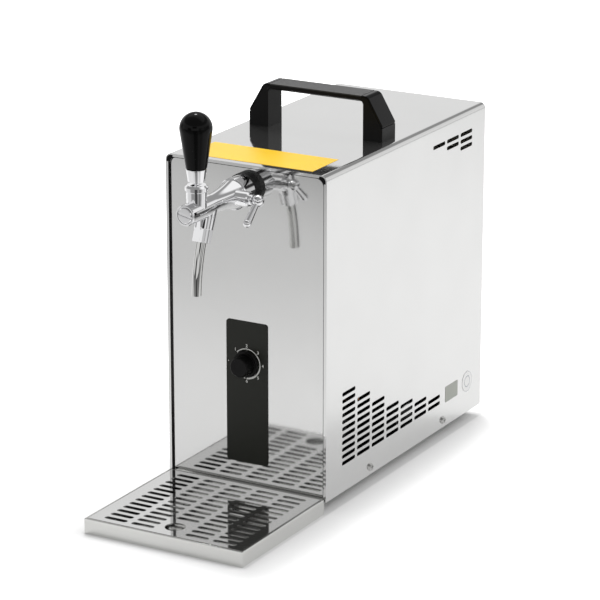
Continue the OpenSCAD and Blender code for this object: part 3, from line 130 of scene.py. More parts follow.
class Graph:
    """Node tree of a material or a world."""

    def __init__(self, tree: bpy.types.NodeTree) -> None:
        """Wraps a node tree."""
        self.tree = tree

    def node(self, kind: str, settings: dict | None = None, sockets: dict | None = None,
             result: int | str = 0) -> Socket:
        """Adds a node, with its properties set before its sockets.

        Args:
            kind: type of the node.
            settings: properties by name; "stops" fills a colour ramp with (place, grey) pairs.
            sockets: input values or links, by name or number.
            result: name or number of the output.

        Returns:
            That output.
        """
        made = self.tree.nodes.new(kind)
        for key, value in (settings or {}).items():
            if key == "stops":
                self.fill(made.color_ramp.elements, value)
            else:
                setattr(made, key, value)
        for key, value in (sockets or {}).items():
            self.feed(made.inputs[key], value)
        return Socket(self, made.outputs[result])

    def fill(self, elements: bpy.types.ColorRampElements, stops: Stops) -> None:
        """Sets the grey stops of a colour ramp.

        Args:
            elements: stops of the ramp.
            stops: (place, grey) pairs in order.
        """
        while len(elements) < len(stops):
            elements.new(1.0)
        for element, (place, level) in zip(elements, stops):
            element.position = place
            element.color = (*grey(level), 1.0)

    def feed(self, target: bpy.types.NodeSocket, value: "Socket | float | tuple") -> None:
        """Links an output to an input, or sets the input's own value.

        Args:
            target: the input.
            value: wrapped output, number or colour.
        """
        if isinstance(value, Socket):
            self.tree.links.new(value.out, target)
        else:
            target.default_value = value

    def math(self, operation: str, *values: Socket | float) -> Socket:
        """Result of a math node that takes the values in order."""
        return self.node("ShaderNodeMath", {"operation": operation}, dict(enumerate(values)))

    def place(self, axis: str) -> Socket:
        """Coordinate of the shaded point along the object's X, Y or Z axis, in metres."""
        spot = self.node("ShaderNodeTexCoord", result="Object")
        return self.node("ShaderNodeSeparateXYZ", sockets={0: spot}, result=axis)

    def noise(self, size: float, detail: float = 3.0, grain: Grain = Grain.EVEN) -> Socket:
        """Noise over the object's own coordinates.

        Args:
            size: length of one feature in metres.
            detail: octaves of finer noise.
            grain: stretch of the coordinates.

        Returns:
            Noise from 0 to 1.
        """
        spot = self.node("ShaderNodeTexCoord", result="Object")
        turned = self.node("ShaderNodeMapping", sockets={"Vector": spot, "Scale": grain.value})
        sockets = {"Vector": turned, "Scale": 1.0 / size, "Detail": detail}
        return self.node("ShaderNodeTexNoise", sockets=sockets)

    def ramp(self, stops: Stops, amount: Socket) -> Socket:
        """Grey between (place, grey) stops."""
        return self.node("ShaderNodeValToRGB", {"stops": stops}, {"Fac": amount})

    def blend(self, low: "Triple | Socket", high: "Triple | Socket", amount: Socket) -> Socket:
        """Colour between two colours.

        Args:
            low: colour at 0.
            high: colour at 1.
            amount: place between them.

        Returns:
            The colour.
        """
        ends = [end if isinstance(end, Socket) else (*end, 1.0) for end in (low, high)]
        sockets = {"Factor": amount, 6: ends[0], 7: ends[1]}
        return self.node("ShaderNodeMix", {"data_type": "RGBA"}, sockets, 2)

    def bump(self, height: Socket) -> Socket:
        """Normal of a height field in metres."""
        return self.node("ShaderNodeBump", sockets={"Strength": 1.0, "Distance": 1.0, "Height": height})

    def ray(self, kind: str) -> Socket:
        """One for rays of a kind, such as Camera, and zero for the others."""
        return self.node("ShaderNodeLightPath", result=f"Is {kind} Ray")


class Paint(Graph):
    """Material around a Principled shader."""

    def __init__(self, name: str) -> None:
        """Makes the material.

        Args:
            name: its name.
        """
        self.material = bpy.data.materials.new(name)
        self.material.use_nodes = True
        super().__init__(self.material.node_tree)
        self.shader = self.tree.nodes["Principled BSDF"]

    def set(self, **values: Socket | float | tuple) -> None:
        """Sets inputs of the shader by name, with underscores for spaces."""
        for key, value in values.items():
            self.feed(self.shader.inputs[key.replace("_", " ")], value)


@dataclass(frozen=True)
class Metal:
    """Polished or plated metal with smudges, a fine grain and the slight waviness of a sheet.

    Where satin holds two heights, the surface between them is duller. A veil takes off some of the mirror.
    """

    colour: Triple
    roughness: float
    smudge: float = 0.04
    grain: Grain = Grain.EVEN
    grain_size: float = 0.6 * MM
    grain_depth: float = 0.0
    wave_size: float = 90 * MM
    wave_depth: float = 0.0
    cloud_size: float = 50 * MM
    tint: float = 0.03
    satin: Pair | None = None
    satin_roughness: float = 0.26
    satin_blur: float = 1 * MM
    veil: float = 0.0

    def build(self, name: str) -> bpy.types.Material:
        """Makes the material.

        Args:
            name: its name.

        Returns:
            The material.
        """
        paint = Paint(name)
        cloud = paint.noise(self.cloud_size, 4.0)
        streak = paint.noise(self.grain_size, 2.0, self.grain)
        # Both noises vary about one half, so this start keeps the mean roughness.
        start = self.roughness - self.smudge * 0.75
        rough = cloud * self.smudge + streak * (self.smudge / 2) + start
        if self.satin:
            rough = rough + self.band(paint.place("Z")) * (self.satin_roughness - self.roughness)
        paint.set(Metallic=1.0 - self.veil, Roughness=rough)
        paint.set(Base_Color=paint.blend(*tinted(self.colour, self.tint), cloud))
        waves = paint.noise(self.wave_size, 1.0) * self.wave_depth
        paint.set(Normal=paint.bump(streak * self.grain_depth + waves))
        return paint.material

    def band(self, level: Socket) -> Socket:
        """One between the satin heights and zero outside them."""
        low, high = self.satin
        return level.step(low - self.satin_blur, low) - level.step(high, high + self.satin_blur)


@dataclass(frozen=True)
class Moulded:
    """Plastic, rubber, lacquer or foam with a fine surface texture and uneven gloss.

    Where ridge_step is set, ridges across Y lie above the height ridge_above, and that top is painted a
    lighter grey as a painted sheen of light from above.
    """

    colour: Triple
    roughness: float
    texture_size: float = 0.8 * MM
    texture_depth: float = 0.02 * MM
    uneven: float = 0.08
    specular: float = 0.5
    patch_size: float = 30 * MM
    tint: float = 0.15
    ridge_step: float = 0.0
    ridge_depth: float = 0.12 * MM
    ridge_above: float = 0.0
    ridge_blur: float = 1 * MM
    # Painted sheen: grey of the ridged top, lighter than the plastic, standing in for light from above.
    top_sheen_colour: Triple = grey(0.06)

    def build(self, name: str) -> bpy.types.Material:
        """Makes the material.

        Args:
            name: its name.

        Returns:
            The material.
        """
        paint = Paint(name)
        patch = paint.noise(self.patch_size)
        height = paint.noise(self.texture_size, 2.0) * self.texture_depth
        colour = paint.blend(*tinted(self.colour, self.tint), patch)
        if self.ridge_step:
            wave = (paint.place("Y") * (2 * math.pi / self.ridge_step)).math("SINE")
            top = paint.place("Z").step(self.ridge_above - self.ridge_blur, self.ridge_above)
            height = height + wave * top * self.ridge_depth
            # Painted sheen: the top is painted lighter, as if lit from above.
            colour = paint.blend(colour, self.top_sheen_colour, top)
        paint.set(Metallic=0.0, Specular_IOR_Level=self.specular, Base_Color=colour)
        paint.set(Roughness=patch * self.uneven + (self.roughness - self.uneven / 2))
        paint.set(Normal=paint.bump(height))
        return paint.material


@dataclass(frozen=True)
class SideFilm:
    """Two bare stickers on the side: a grey plate, and a clear disc with two printed rings."""

    plate: Triple = (0.36, 0.375, 0.335)
    plate_roughness: float = 0.42
    disc: Triple = (0.60, 0.60, 0.595)
    disc_roughness: float = 0.08
    disc_radius: float = 11.5 * MM
    disc_margin: float = 1 * MM
    ink: Triple = (0.30, 0.33, 0.36)
    ink_strength: float = 0.8
    outer_ring: Pair = (10.7 * MM, 0.35 * MM)
    outer_strength: float = 0.5
    inner_ring: Pair = (5.8 * MM, 0.55 * MM)
    texture_size: float = 2 * MM
    texture_depth: float = 0.004 * MM

    def build(self, name: str) -> bpy.types.Material:
        """Makes the material.

        Args:
            name: its name.

        Returns:
            The material.
        """
        paint = Paint(name)
        low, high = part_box("side_labels")
        across = paint.place("Y") - (high.y - self.disc_radius)
        upward = paint.place("Z") - (low.z + high.z) / 2
        reach = (across * across + upward * upward).math("SQRT")
        disc = reach.math("COMPARE", 0.0, self.disc_radius + self.disc_margin)
        outer = reach.math("COMPARE", *self.outer_ring) * self.outer_strength
        printed = (outer + reach.math("COMPARE", *self.inner_ring)) * self.ink_strength
        paint.set(Base_Color=paint.blend(paint.blend(self.plate, self.disc, disc), self.ink, printed))
        paint.set(Metallic=disc - printed)
        paint.set(Roughness=self.plate_roughness - disc * (self.plate_roughness - self.disc_roughness))
        paint.set(Normal=paint.bump(paint.noise(self.texture_size) * self.texture_depth))
        return paint.material


Finish = Metal | Moulded | SideFilm
SHEET = Metal((0.64, 0.64, 0.635), 0.06, 0.03, Grain.ALONG_Z, grain_depth=0.0002 * MM, wave_depth=0.01 * MM,
              veil=0.035)
HANDLE = Moulded(grey(0.004), 0.34, texture_size=0.6 * MM, texture_depth=0.01 * MM, specular=0.12)
FINISHES: dict[str, Finish] = {
    "polished_steel": SHEET,
    "chrome": Metal((0.82, 0.82, 0.83), 0.035, 0.02),
    "plated_steel": Metal((0.50, 0.50, 0.49), 0.3, 0.1),
    "gloss_black": Moulded(grey(0.003), 0.08, texture_depth=0.004 * MM, uneven=0.03, specular=0.11),
    "satin_black": HANDLE,
    "black_plate": Moulded((0.016, 0.017, 0.013), 0.36, texture_size=0.4 * MM, texture_depth=0.006 * MM,
                           specular=0.2),
    "rubber": Moulded(grey(0.008), 0.5, specular=0.25),
    "yellow_label": Moulded((0.97, 0.57, 0.010), 0.35, texture_size=2 * MM, texture_depth=0.005 * MM,
                            uneven=0.05),
    "grey_label": SideFilm(),
    "foam": Moulded((0.80, 0.78, 0.70), 0.9, texture_size=2 * MM, texture_depth=0.1 * MM),
    "aluminium": Metal(grey(0.60), 0.35, 0.1),
    "copper": Metal((0.60, 0.30, 0.17), 0.32, 0.12),
    "black_enamel": Moulded((0.010, 0.010, 0.011), 0.3, specular=0.3),
    "white_plastic": Moulded((0.75, 0.75, 0.72), 0.4),
    "clear_hose": Moulded((0.70, 0.72, 0.70), 0.3),
}
TRAY = Metal((0.62, 0.62, 0.605), 0.10, 0.04, Grain.ALONG_X, grain_depth=0.0003 * MM)
RIDGED = Moulded(HANDLE.colour, 0.38, specular=0.14, ridge_step=3.2 * MM)
SPOUT = Metal((0.60, 0.60, 0.59), 0.05, 0.02)


class Dresser:
    """Gives every CAD node, and every new piece, the material of a record slot or one of its own."""

    satin_foot: float = 3 * MM
    satin_rim: float = 4 * MM
    ridge_skin: float = 0.5 * MM

    def __init__(self) -> None:
        """Makes the materials of the slots and of the nodes with one of their own."""
        self.slots = {part["node"]: part["material_slot"] for part in frame["record"]["subparts"]}
        self.materials = {slot: finish.build(slot) for slot, finish in FINISHES.items()}
        foot, rim = (corner.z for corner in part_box("drip_tray"))
        tray = replace(TRAY, satin=(foot + self.satin_foot, rim - self.satin_rim))
        handle = replace(RIDGED, ridge_above=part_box("carry_handle")[1].z - self.ridge_skin)
        self.own = {
            "drip_tray": tray.build("tray_steel"),
            "carry_handle": handle.build("handle_black"),
            "tap_spout": SPOUT.build("spout_steel"),
        }

    def dress(self) -> None:
        """Assigns the materials of the CAD nodes."""
        for name, node in frame["nodes"].items():
            self.paint(node, self.material(name))
        LOG.info("dressed %d CAD nodes", len(frame["nodes"]))

    def material(self, node: str) -> bpy.types.Material:
        """Material of a CAD node: its own, or that of its slot."""
        return self.own.get(node, self.materials[self.slots[node]])

    def paint(self, thing: bpy.types.Object, material: bpy.types.Material) -> None:
        """Makes a material an object's only one."""
        thing.data.materials.clear()
        thing.data.materials.append(material)

    def finish(self, thing: bpy.types.Object, slot: str, body: str) -> bpy.types.Object:
        """Paints a new piece from a slot and lets it ride on a body.

        Args:
            thing: the piece.
            slot: the record's slot.
            body: name of the body.

        Returns:
            The piece.
        """
        self.paint(thing, self.materials[slot])
        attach(thing, body)
        LOG.info("made %s", thing.name)
        return thing


def activate(thing: bpy.types.Object) -> None:
    """Makes an object the only selected one.

    Args:
        thing: the object.
    """
    bpy.ops.object.select_all(action="DESELECT")
    thing.select_set(True)
    bpy.context.view_layer.objects.active = thing


def join(parts: list[bpy.types.Object], name: str) -> bpy.types.Object:
    """Joins objects into one piece.

    Args:
        parts: the objects.
        name: name of the piece.

    Returns:
        The piece.
    """
    activate(parts[0])
    for part in parts:
        part.select_set(True)
    bpy.ops.object.join()
    piece = bpy.context.object
    piece.name = name
    return piece


def everywhere(spot: Vector) -> bool:
    """Test that every spot passes."""
    return True


@dataclass(frozen=True)
class Cut:
    """One rounding of the sharp edges whose two ends pass a test."""

    radius: float
    segments: int = 3
    test: SpotTest = everywhere


@dataclass
class Rounded:
    """Copy of a CAD node whose sharp edges are rounded, shown in the node's place."""

    dresser: Dresser
    node: str
    cuts: tuple[Cut, ...] = ()
    body: str = "casing"
    sharp: float = math.radians(32)
    flat: float = math.radians(0.3)
    merge_gap: float = 0.002 * MM

    def build(self) -> bpy.types.Object:
        """Makes the copy.

        Returns:
            The piece.
        """
        piece = self.copy()
        for cut in self.cuts:
            self.select_edges(piece, cut.test)
            bpy.ops.object.mode_set(mode="EDIT")
            bpy.ops.mesh.bevel(offset=cut.radius, segments=cut.segments, affect="EDGES", clamp_overlap=True)
            bpy.ops.object.mode_set(mode="OBJECT")
        return self.finish(piece)

    def copy(self) -> bpy.types.Object:
        """Copies the node's mesh and merges its loose triangles into flat faces.

        Returns:
            The copy.
        """
        source = frame["nodes"][self.node]
        piece = bpy.data.objects.new(f"{self.node}_rounded", source.data.copy())
        bpy.context.scene.collection.objects.link(piece)
        activate(piece)
        bpy.ops.object.mode_set(mode="EDIT")
        bpy.ops.mesh.select_all(action="SELECT")
        bpy.ops.mesh.remove_doubles(threshold=self.merge_gap)
        bpy.ops.mesh.normals_make_consistent(inside=False)
        bpy.ops.mesh.dissolve_limited(angle_limit=self.flat)
        bpy.ops.object.mode_set(mode="OBJECT")
        return piece

    def select_edges(self, piece: bpy.types.Object, test: SpotTest) -> None:
        """Selects the sharp edges whose two ends pass a test.

        Args:
            piece: the copy.
            test: the test of one end.
        """
        bpy.ops.object.mode_set(mode="EDIT")
        bpy.ops.mesh.select_mode(type="EDGE")
        bpy.ops.mesh.select_all(action="DESELECT")
        bpy.ops.mesh.edges_select_sharp(sharpness=self.sharp)
        bpy.ops.object.mode_set(mode="OBJECT")
        spots = piece.data.vertices
        wanted = [edge.index for edge in piece.data.edges
                  if edge.select and all(test(spots[i].co) for i in edge.vertices)]
        bpy.ops.object.mode_set(mode="EDIT")
        bpy.ops.mesh.select_all(action="DESELECT")
        bpy.ops.object.mode_set(mode="OBJECT")
        for index in wanted:
            piece.data.edges[index].select = True

    def finish(self, piece: bpy.types.Object) -> bpy.types.Object:
        """Smooths the copy's round edges, paints it as its node and lets it ride in the node's place.

        Args:
            piece: the copy.

        Returns:
            The copy.
        """
        activate(piece)
        bpy.ops.object.shade_smooth_by_angle(angle=self.sharp)
        weighted = piece.modifiers.new("weighted", "WEIGHTED_NORMAL")
        weighted.keep_sharp = True
        bpy.ops.object.modifier_apply(modifier=weighted.name)
        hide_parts(self.node)
        self.dresser.finish(piece, self.dresser.slots[self.node], self.body)
        self.dresser.paint(piece, self.dresser.material(self.node))
        return piece


@dataclass
class CrossScrews:
    """Cover screws with a cross recess in each head."""

    dresser: Dresser
    node: str = "cover_screws"
    head_radius: float = 4.2 * MM
    recess_length: float = 4.6 * MM
    recess_width: float = 1.0 * MM
    recess_depth: float = 1.2 * MM

    def build(self) -> bpy.types.Object:
        """Makes the screws.

        Returns:
            The piece.
        """
        low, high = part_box(self.node)
        level = (low.z + high.z) / 2
        copy = Rounded(self.dresser, self.node)
        piece = copy.copy()
        sizes = ((self.recess_length, self.recess_width), (self.recess_width, self.recess_length))
        cutters = [self.bar(x, y, level, size)
                   for x in (low.x, high.x)
                   for y in (low.y + self.head_radius, high.y - self.head_radius)
                   for size in sizes]
        for cutter in cutters:
            self.cut(piece, cutter)
        return copy.finish(piece)

    def bar(self, x: float, y: float, z: float, size: Pair) -> bpy.types.Object:
        """Makes one bar of a cross recess, sunk into a screw's outer face.

        Args:
            x: outer face of the head.
            y: the screw's axis.
            z: the screw's axis.
            size: the bar's size along Y and Z.

        Returns:
            The bar.
        """
        bpy.ops.mesh.primitive_cube_add(size=1, location=(x, y, z), scale=(2 * self.recess_depth, *size))
        bpy.ops.object.transform_apply(location=True, rotation=True, scale=True)
        return bpy.context.object

    def cut(self, piece: bpy.types.Object, cutter: bpy.types.Object) -> None:
        """Takes a cutter's shape out of the screws.

        Args:
            piece: the screws.
            cutter: the shape, which is deleted.
        """
        activate(piece)
        recess = piece.modifiers.new("recess", "BOOLEAN")
        recess.operation = "DIFFERENCE"
        recess.object = cutter
        bpy.ops.object.modifier_apply(modifier=recess.name)
        bpy.data.objects.remove(cutter)


@dataclass
class DialPrint:
    """Printed scale round the thermostat knob: digits, ticks, an arc that grows wider and a mark for off.

    Angles are in degrees up from the right, and the scale runs clockwise.
    """

    dresser: Dresser
    digits: str = "123456"
    digit_radius: float = 18 * MM
    digit_height: float = 4.3 * MM
    digit_swell: float = 0.09 * MM
    first_angle: float = 135.0
    step: float = 45.0
    arc_radius: float = 14.9 * MM
    arc_widths: tuple[float, ...] = (0.9 * MM, 0.9 * MM, 1.0 * MM, 1.4 * MM, 1.8 * MM)
    arc_steps: int = 12
    tick_sweep: float = 2.4
    tick_width: float = 2.0 * MM
    end_sweep: float = 6.0
    end_width: float = 1.6 * MM
    off_angle: float = 180.0
    off_radius: float = 20.5 * MM
    off_width: float = 0.8 * MM
    print_depth: float = 0.06 * MM
    centre: Vector = field(default_factory=Vector)

    def build(self) -> bpy.types.Object:
        """Makes the print as one piece that rides on the casing.

        Returns:
            The piece.
        """
        low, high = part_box("thermostat_nut")
        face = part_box("control_plate")[0].y
        self.centre = Vector(((low.x + high.x) / 2, face - self.print_depth / 2, (low.z + high.z) / 2))
        angles = [self.first_angle - i * self.step for i in range(len(self.digits))]
        half_tick = self.tick_sweep / 2
        parts = [self.digit(sign, angle) for sign, angle in zip(self.digits, angles)]
        parts += [self.arc(angle + half_tick, self.tick_sweep, self.tick_width, self.arc_radius)
                  for angle in angles]
        parts += [self.arc(angle, self.step, width, self.arc_radius)
                  for angle, width in zip(angles, self.arc_widths)]
        parts.append(self.arc(angles[-1] - self.end_sweep, self.end_sweep, self.end_width, self.arc_radius))
        parts.append(self.arc(self.off_angle + half_tick, self.tick_sweep, self.off_width, self.off_radius))
        return self.dresser.finish(join(parts, "dial_print"), "white_plastic", "casing")

    def digit(self, sign: str, angle: float) -> bpy.types.Object:
        """Makes one digit on the dial, read upright from the front.

        Args:
            sign: the digit.
            angle: its place.

        Returns:
            The digit's mesh.
        """
        a = math.radians(angle)
        spot = self.centre + Vector((math.cos(a), 0, math.sin(a))) * self.digit_radius
        bpy.ops.object.text_add(location=spot, rotation=(math.pi / 2, 0, 0))
        text = bpy.context.object
        text.data.body = sign
        text.data.size = self.digit_height
        text.data.offset = self.digit_swell
        text.data.align_x = "CENTER"
        text.data.align_y = "CENTER"
        text.data.extrude = self.print_depth / 2
        bpy.ops.object.convert(target="MESH")
        bpy.ops.object.transform_apply(location=True, rotation=True, scale=True)
        return bpy.context.object

    def arc(self, start: float, sweep: float, width: float, radius: float) -> bpy.types.Object:
        """Makes one clockwise stretch of an arc by spinning its cross-section.

        Args:
            start: angle of its first end.
            sweep: its length in degrees.
            width: its width.
            radius: radius of its middle line.

        Returns:
            The stretch's mesh.
        """
        bpy.ops.mesh.primitive_plane_add(size=1, location=self.centre)
        piece = bpy.context.object
        turn = math.radians(-sweep)
        bpy.ops.object.mode_set(mode="EDIT")
        bpy.ops.mesh.select_all(action="SELECT")
        bpy.ops.transform.resize(value=(width, self.print_depth, 1))
        bpy.ops.transform.translate(value=(radius, 0, 0))
        bpy.ops.mesh.spin(steps=self.arc_steps, angle=turn, center=self.centre, axis=(0, 1, 0))
        bpy.ops.mesh.select_all(action="SELECT")
        bpy.ops.mesh.normals_make_consistent(inside=False)
        bpy.ops.object.mode_set(mode="OBJECT")
        piece.rotation_euler.y = math.radians(-start)
        bpy.ops.object.transform_apply(location=True, rotation=True, scale=True)
        return piece


@dataclass
class Casing:
    """Cover with a rounded front hem, carry handle with its caps, control plate and cover screws."""

    dresser: Dresser
    hem_radius: float = 1.1 * MM
    hem_inset: float = 0.9 * MM
    handle_radius: float = 1.3 * MM
    cap_radius: float = 0.6 * MM
    shoulder_radius: float = 3.5 * MM
    plate_radius: float = 0.35 * MM
    edge_slack: float = 0.05 * MM
    cover: tuple[Vector, Vector] = field(init=False)
    cap_top: float = field(init=False)
    cap_reach: float = field(init=False)

    def __post_init__(self) -> None:
        """Measures the cover, and how far the caps' flat tops reach to the sides."""
        self.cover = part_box("casing_cover")
        self.cap_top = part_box("handle_caps")[1].z
        spots = [vertex.co for vertex in frame["nodes"]["handle_caps"].data.vertices]
        self.cap_reach = max(abs(spot.x) for spot in spots if self.on_cap_top(spot))

    def build(self) -> None:
        """Makes the pieces."""
        hem = Cut(self.hem_radius, test=self.on_hem)
        shoulder = Cut(self.shoulder_radius, segments=5, test=self.on_shoulder)
        Rounded(self.dresser, "casing_cover", (hem,)).build()
        Rounded(self.dresser, "carry_handle", (Cut(self.handle_radius, segments=4),)).build()
        Rounded(self.dresser, "handle_caps", (shoulder, Cut(self.cap_radius))).build()
        Rounded(self.dresser, "control_plate", (Cut(self.plate_radius, segments=2),)).build()
        CrossScrews(self.dresser).build()

    def on_hem(self, spot: Vector) -> bool:
        """Tells whether a spot lies on the outer rim of the cover's front edge.

        Args:
            spot: the spot.

        Returns:
            The answer.
        """
        low, high = self.cover
        inset = min(high.x - abs(spot.x), high.z - spot.z)
        return spot.y - low.y < self.edge_slack and inset < self.hem_inset

    def on_cap_top(self, spot: Vector) -> bool:
        """Tells whether a spot lies on the flat top of a handle cap."""
        return self.cap_top - spot.z < self.edge_slack

    def on_shoulder(self, spot: Vector) -> bool:
        """Tells whether a spot lies on the outer edge of a handle cap's top."""
        return self.on_cap_top(spot) and self.cap_reach - abs(spot.x) < self.edge_slack


@dataclass
class DripTray:
    """Drip tray with a rounded rim."""

    dresser: Dresser
    rim_radius: float = 0.9 * MM
    edge_slack: float = 0.05 * MM
    level: float = field(init=False)

    def __post_init__(self) -> None:
        """Measures the rim's level."""
        self.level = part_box("drip_tray")[1].z

    def build(self) -> None:
        """Makes the tray."""
        rim = Cut(self.rim_radius, test=self.on_rim)
        Rounded(self.dresser, "drip_tray", (rim,), "tray").build()

    def on_rim(self, spot: Vector) -> bool:
        """Tells whether a spot lies on the rim's top."""
        return abs(spot.z - self.level) < self.edge_slack


@dataclass
class Tap:
    """Turned pieces of the tap with softened edges."""

    dresser: Dresser
    plug_radius: float = 0.3 * MM
    coupling_radius: float = 0.4 * MM
    gasket_radius: float = 0.5 * MM
    bonnet_radius: float = 0.35 * MM
    ferrule_radius: float = 0.3 * MM

    def build(self) -> None:
        """Makes the pieces."""
        Rounded(self.dresser, "tap_plug", (Cut(self.plug_radius, segments=2),)).build()
        Rounded(self.dresser, "tap_coupling", (Cut(self.coupling_radius),)).build()
        Rounded(self.dresser, "tap_gasket", (Cut(self.gasket_radius),)).build()
        Rounded(self.dresser, "lever_bonnet", (Cut(self.bonnet_radius),)).build()
        Rounded(self.dresser, "lever_ferrule", (Cut(self.ferrule_radius, segments=2),), "lever").build()


@dataclass
class Thermostat:
    """Thermostat knob with softened edges, and the scale printed round it."""

    dresser: Dresser
    knob_radius: float = 0.4 * MM

    def build(self) -> None:
        """Makes the knob and the print."""
        Rounded(self.dresser, "thermostat_knob", (Cut(self.knob_radius),), "dial").build()
        DialPrint(self.dresser).build()


@dataclass(frozen=True)
class PhotoCamera:
    """Camera at the photograph's viewing angle."""

    azimuth: float = 29.593
    elevation: float = 17.428
    distance: float = 3.034065
    lens: float = 182.86
    sensor: float = 36.0
    clip: Pair = (0.1, 100.0)
    target: Triple = (-0.001648, 0.011295, 0.174074)

    def build(self) -> None:
        """Makes the camera, and the scene look through it."""
        a = math.radians(self.azimuth)
        e = math.radians(self.elevation)
        back = Vector((math.sin(a) * math.cos(e), -math.cos(a) * math.cos(e), math.sin(e)))
        bpy.ops.object.camera_add(location=Vector(self.target) + back * self.distance)
        camera = bpy.context.object
        camera.rotation_mode = "QUATERNION"
        camera.rotation_quaternion = (-back).to_track_quat("-Z", "Y")
        camera.data.lens = self.lens
        camera.data.sensor_width = self.sensor
        camera.data.clip_start, camera.data.clip_end = self.clip
        bpy.context.scene.camera = camera


@dataclass(frozen=True)
class Lamp:
    """Square soft light that faces the object; only a mirrored one shows in its reflections."""

    name: str
    place: Triple
    size: float
    power: float
    mirrored: bool = False
    aim: Triple = (0.0, 0.0, 0.15)

    def build(self) -> None:
        """Makes the light."""
        bpy.ops.object.light_add(type="AREA", location=self.place)
        lamp = bpy.context.object
        lamp.name = self.name
        lamp.data.size = self.size
        lamp.data.energy = self.power
        lamp.visible_glossy = self.mirrored
        lamp.rotation_mode = "QUATERNION"
        lamp.rotation_quaternion = (Vector(self.aim) - Vector(self.place)).to_track_quat("-Z", "Y")


@dataclass
class Studio:
    """White sweep lit from above; the room beyond its front edge shows only in reflections.

    The room's greys are stops by degrees, counter-clockwise from the room's front as seen from above.
    """

    facing: float = math.radians(PhotoCamera.azimuth)
    lamps: tuple[Lamp, ...] = (
        Lamp("key", (-0.7, 0.9, 2.0), 1.6, 25),
        Lamp("fill", (1.5, 0.8, 1.8), 1.6, 16.5),
        Lamp("spark", (-0.58, 0.75, 2.05), 0.3, 7, mirrored=True),
    )
    floor_size: float = 12.0
    floor_grey: float = 0.86
    floor_tint: float = 0.01
    floor_patch: float = 0.4
    # Glow of the floor for the camera rises from floor_lift at the object's edge to white over fade; less
    # glow near and under the object is painted shade.
    floor_lift: float = 0.15
    mirror_lift: float = 0.178
    fade: float = 0.10
    brink: float = 4 * MM
    edge: Pair = (0.58, 0.95)
    ring: Pair = (0.35, 0.95)
    room_floor: float = 0.4
    dark_grey: float = 0.06
    ambient: float = 0.52
    overhead: float = 0.75
    panel_rise: Pair = (0.60, 0.72)
    panel_back: Pair = (-0.1, 0.25)
    # Share of the upper room, and its grey, by the height of the direction.
    heights: Stops = ((0.0, 0.0), (0.16, 0.0), (0.24, 1.0), (1.0, 1.0))
    above: Stops = ((0.0, 0.95), (0.40, 0.95), (0.47, 0.35), (1.0, 0.30))
    # Greys near the horizon.
    around: Stops = (
        (-180, 1.0), (-135, 1.0), (-125, 0.35), (-108, 0.35), (-98, 1.0), (-60, 0.9), (-52, 0.05),
        (-36, 0.05), (-28, 0.8), (-18, 0.95), (18, 0.95), (24, 0.33), (36, 0.33), (42, 0.75),
        (58, 0.75), (64, 0.43), (76, 0.43), (84, 0.25), (100, 0.25), (110, 1.0), (180, 1.0),
    )
    # Dark stretch of the upper room, up to the height where brow_top ends it.
    brow: Stops = ((-180, 1.0), (-26, 1.0), (-19, 0.03), (4, 0.03), (11, 1.0), (180, 1.0))
    brow_top: Pair = (0.36, 0.44)
    # Greys of the floor beyond the ring.
    streaks: Stops = (
        (-180, 0.95), (-108, 0.95), (-98, 0.8), (-72, 0.8), (-65, 0.83), (-21, 0.85), (-15, 0.03),
        (2, 0.03), (9, 0.9), (16, 0.95), (22, 0.4), (34, 0.4), (40, 0.9), (58, 0.9), (64, 0.75),
        (92, 0.75), (97, 1.0), (180, 1.0),
    )

    def build(self) -> None:
        """Makes the floor, the world, the lights and the view transform."""
        self.floor()
        self.world()
        for lamp in self.lamps:
            lamp.build()
        scene = bpy.context.scene
        scene.view_settings.view_transform = "Standard"
        scene.view_settings.look = "None"
        LOG.info("made the studio")

    def forward(self, x: Socket, y: Socket) -> Socket:
        """Distance along the ground towards the front of the room."""
        return x * math.sin(self.facing) - y * math.cos(self.facing)

    def panorama(self, graph: Graph, x: Socket, y: Socket, greys: Stops) -> Socket:
        """Grey of the room by direction.

        Args:
            graph: the node tree.
            x: direction along X.
            y: direction along Y.
            greys: (angle, grey) pairs in order.

        Returns:
            The grey.
        """
        sideways = x * math.cos(self.facing) + y * math.sin(self.facing)
        turn = sideways.math("ARCTAN2", self.forward(x, y)) * (0.5 / math.pi) + 0.5
        return graph.ramp(tuple((angle / 360 + 0.5, level) for angle, level in greys), turn)

    def clearance(self, place: Socket, low: float, high: float) -> Socket:
        """How far a place lies outside a stretch of an axis, or zero inside it."""
        return (low - place).math("MAXIMUM", place - high).math("MAXIMUM", 0.0)

    def outside(self, x: Socket, y: Socket) -> Socket:
        """How far a place on the floor lies outside the casing and the tray.

        Args:
            x: place along X.
            y: place along Y.

        Returns:
            The distance, or zero below them.
        """
        low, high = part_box("casing_cover")
        across = self.clearance(x, low.x, high.x)
        along = self.clearance(y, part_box("drip_tray")[0].y, high.y)
        return (across * across + along * along).math("SQRT")

    def floor(self) -> None:
        """Makes the pale floor, which keeps the object's shadow and, for the camera, has painted shade near
        and under the object.
        """
        bpy.ops.mesh.primitive_plane_add(size=self.floor_size)
        floor = bpy.context.object
        floor.name = "floor"
        paint = Paint("floor")
        x, y = paint.place("X"), paint.place("Y")
        mirrored = paint.ray("Glossy").math("MAXIMUM", paint.ray("Transmission"))
        dark = mirrored * (1.0 - self.brightness(paint, x, y))
        # Glow for the camera, held back near and under the object: painted shade on top of the real shadow.
        lift = paint.ray("Camera") * self.glow_with_painted_shade(x, y) + mirrored * self.mirror_lift
        ends = (grey(self.floor_grey - self.floor_tint), grey(self.floor_grey + self.floor_tint))
        tone = paint.blend(*ends, paint.noise(self.floor_patch))
        paint.set(Roughness=1.0, Specular_IOR_Level=0.0, Emission_Strength=1.0)
        paint.set(Base_Color=paint.blend(tone, grey(self.dark_grey), dark))
        paint.set(Emission_Color=paint.blend(BLACK, WHITE, lift * (1.0 - dark)))
        floor.data.materials.append(paint.material)

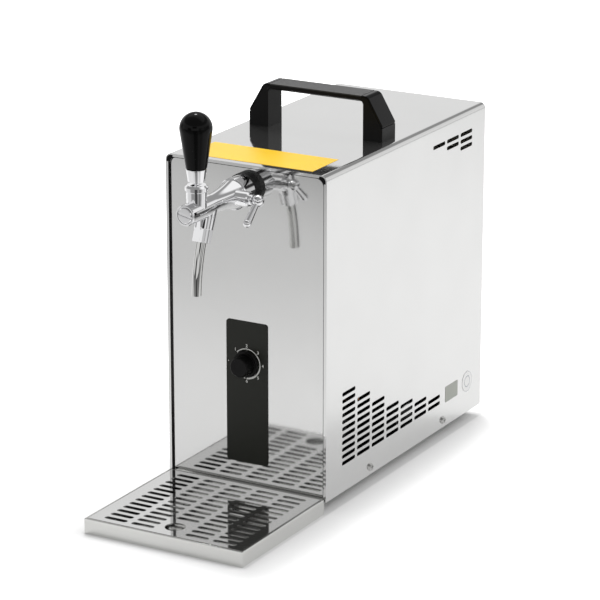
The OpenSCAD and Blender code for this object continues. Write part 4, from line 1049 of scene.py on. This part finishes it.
    def brightness(self, paint: Paint, x: Socket, y: Socket) -> Socket:
        """Brightness of the floor in reflections: darker beyond the sweep's edge and in the streaks.

        Args:
            paint: the floor's material.
            x: place along X.
            y: place along Y.

        Returns:
            The brightness, from 0 to 1.
        """
        near = 1.0 - self.forward(x, y).step(*self.edge) * (1.0 - self.room_floor)
        striped = (x * x + y * y).math("SQRT").step(*self.ring)
        return near * (1.0 - striped * (1.0 - self.panorama(paint, x, y, self.streaks)))

    def glow_with_painted_shade(self, x: Socket, y: Socket) -> Socket:
        """Share of white glow of the floor for the camera: none below the object and less near it, which
        paints shade there.

        Args:
            x: place along X.
            y: place along Y.

        Returns:
            The share of white.
        """
        gap = self.outside(x, y)
        slow = gap.step(0.0, self.fade) * (1.0 - self.floor_lift)
        return slow + gap.step(0.0, self.brink) * self.floor_lift

    def world(self) -> None:
        """White for the camera, a studio for reflections and an even soft light for the rest."""
        world = bpy.data.worlds.new("studio")
        bpy.context.scene.world = world
        world.use_nodes = True
        graph = Graph(world.node_tree)
        way = graph.node("ShaderNodeTexCoord", result="Generated")
        x, y, z = (graph.node("ShaderNodeSeparateXYZ", sockets={0: way}, result=axis) for axis in "XYZ")
        panel = z.step(*self.panel_rise) * y.step(*self.panel_back) * self.overhead
        shaded = (1.0 - self.panorama(graph, x, y, self.brow)) * (1.0 - z.step(*self.brow_top))
        upper = graph.ramp(self.above, z) * (1.0 - shaded)
        room = graph.blend(self.panorama(graph, x, y, self.around), upper, graph.ramp(self.heights, z))
        room = graph.node("ShaderNodeVectorMath", {"operation": "ADD"}, {0: room, 1: panel})
        light = graph.blend(grey(self.ambient), room, graph.ray("Glossy"))
        light = graph.blend(light, WHITE, graph.ray("Camera"))
        graph.feed(graph.tree.nodes["Background"].inputs["Color"], light)


def main() -> None:
    """Dresses the frame and sets the scene."""
    logging.basicConfig(level=logging.INFO, format="%(name)s: %(message)s")
    bpy.ops.object.select_all(action="DESELECT")
    PhotoCamera().build()
    Studio().build()
    dresser = Dresser()
    dresser.dress()
    for assembly in (Casing, DripTray, Tap, Thermostat):
        assembly(dresser).build()


if __name__ == "__main__":
    main()
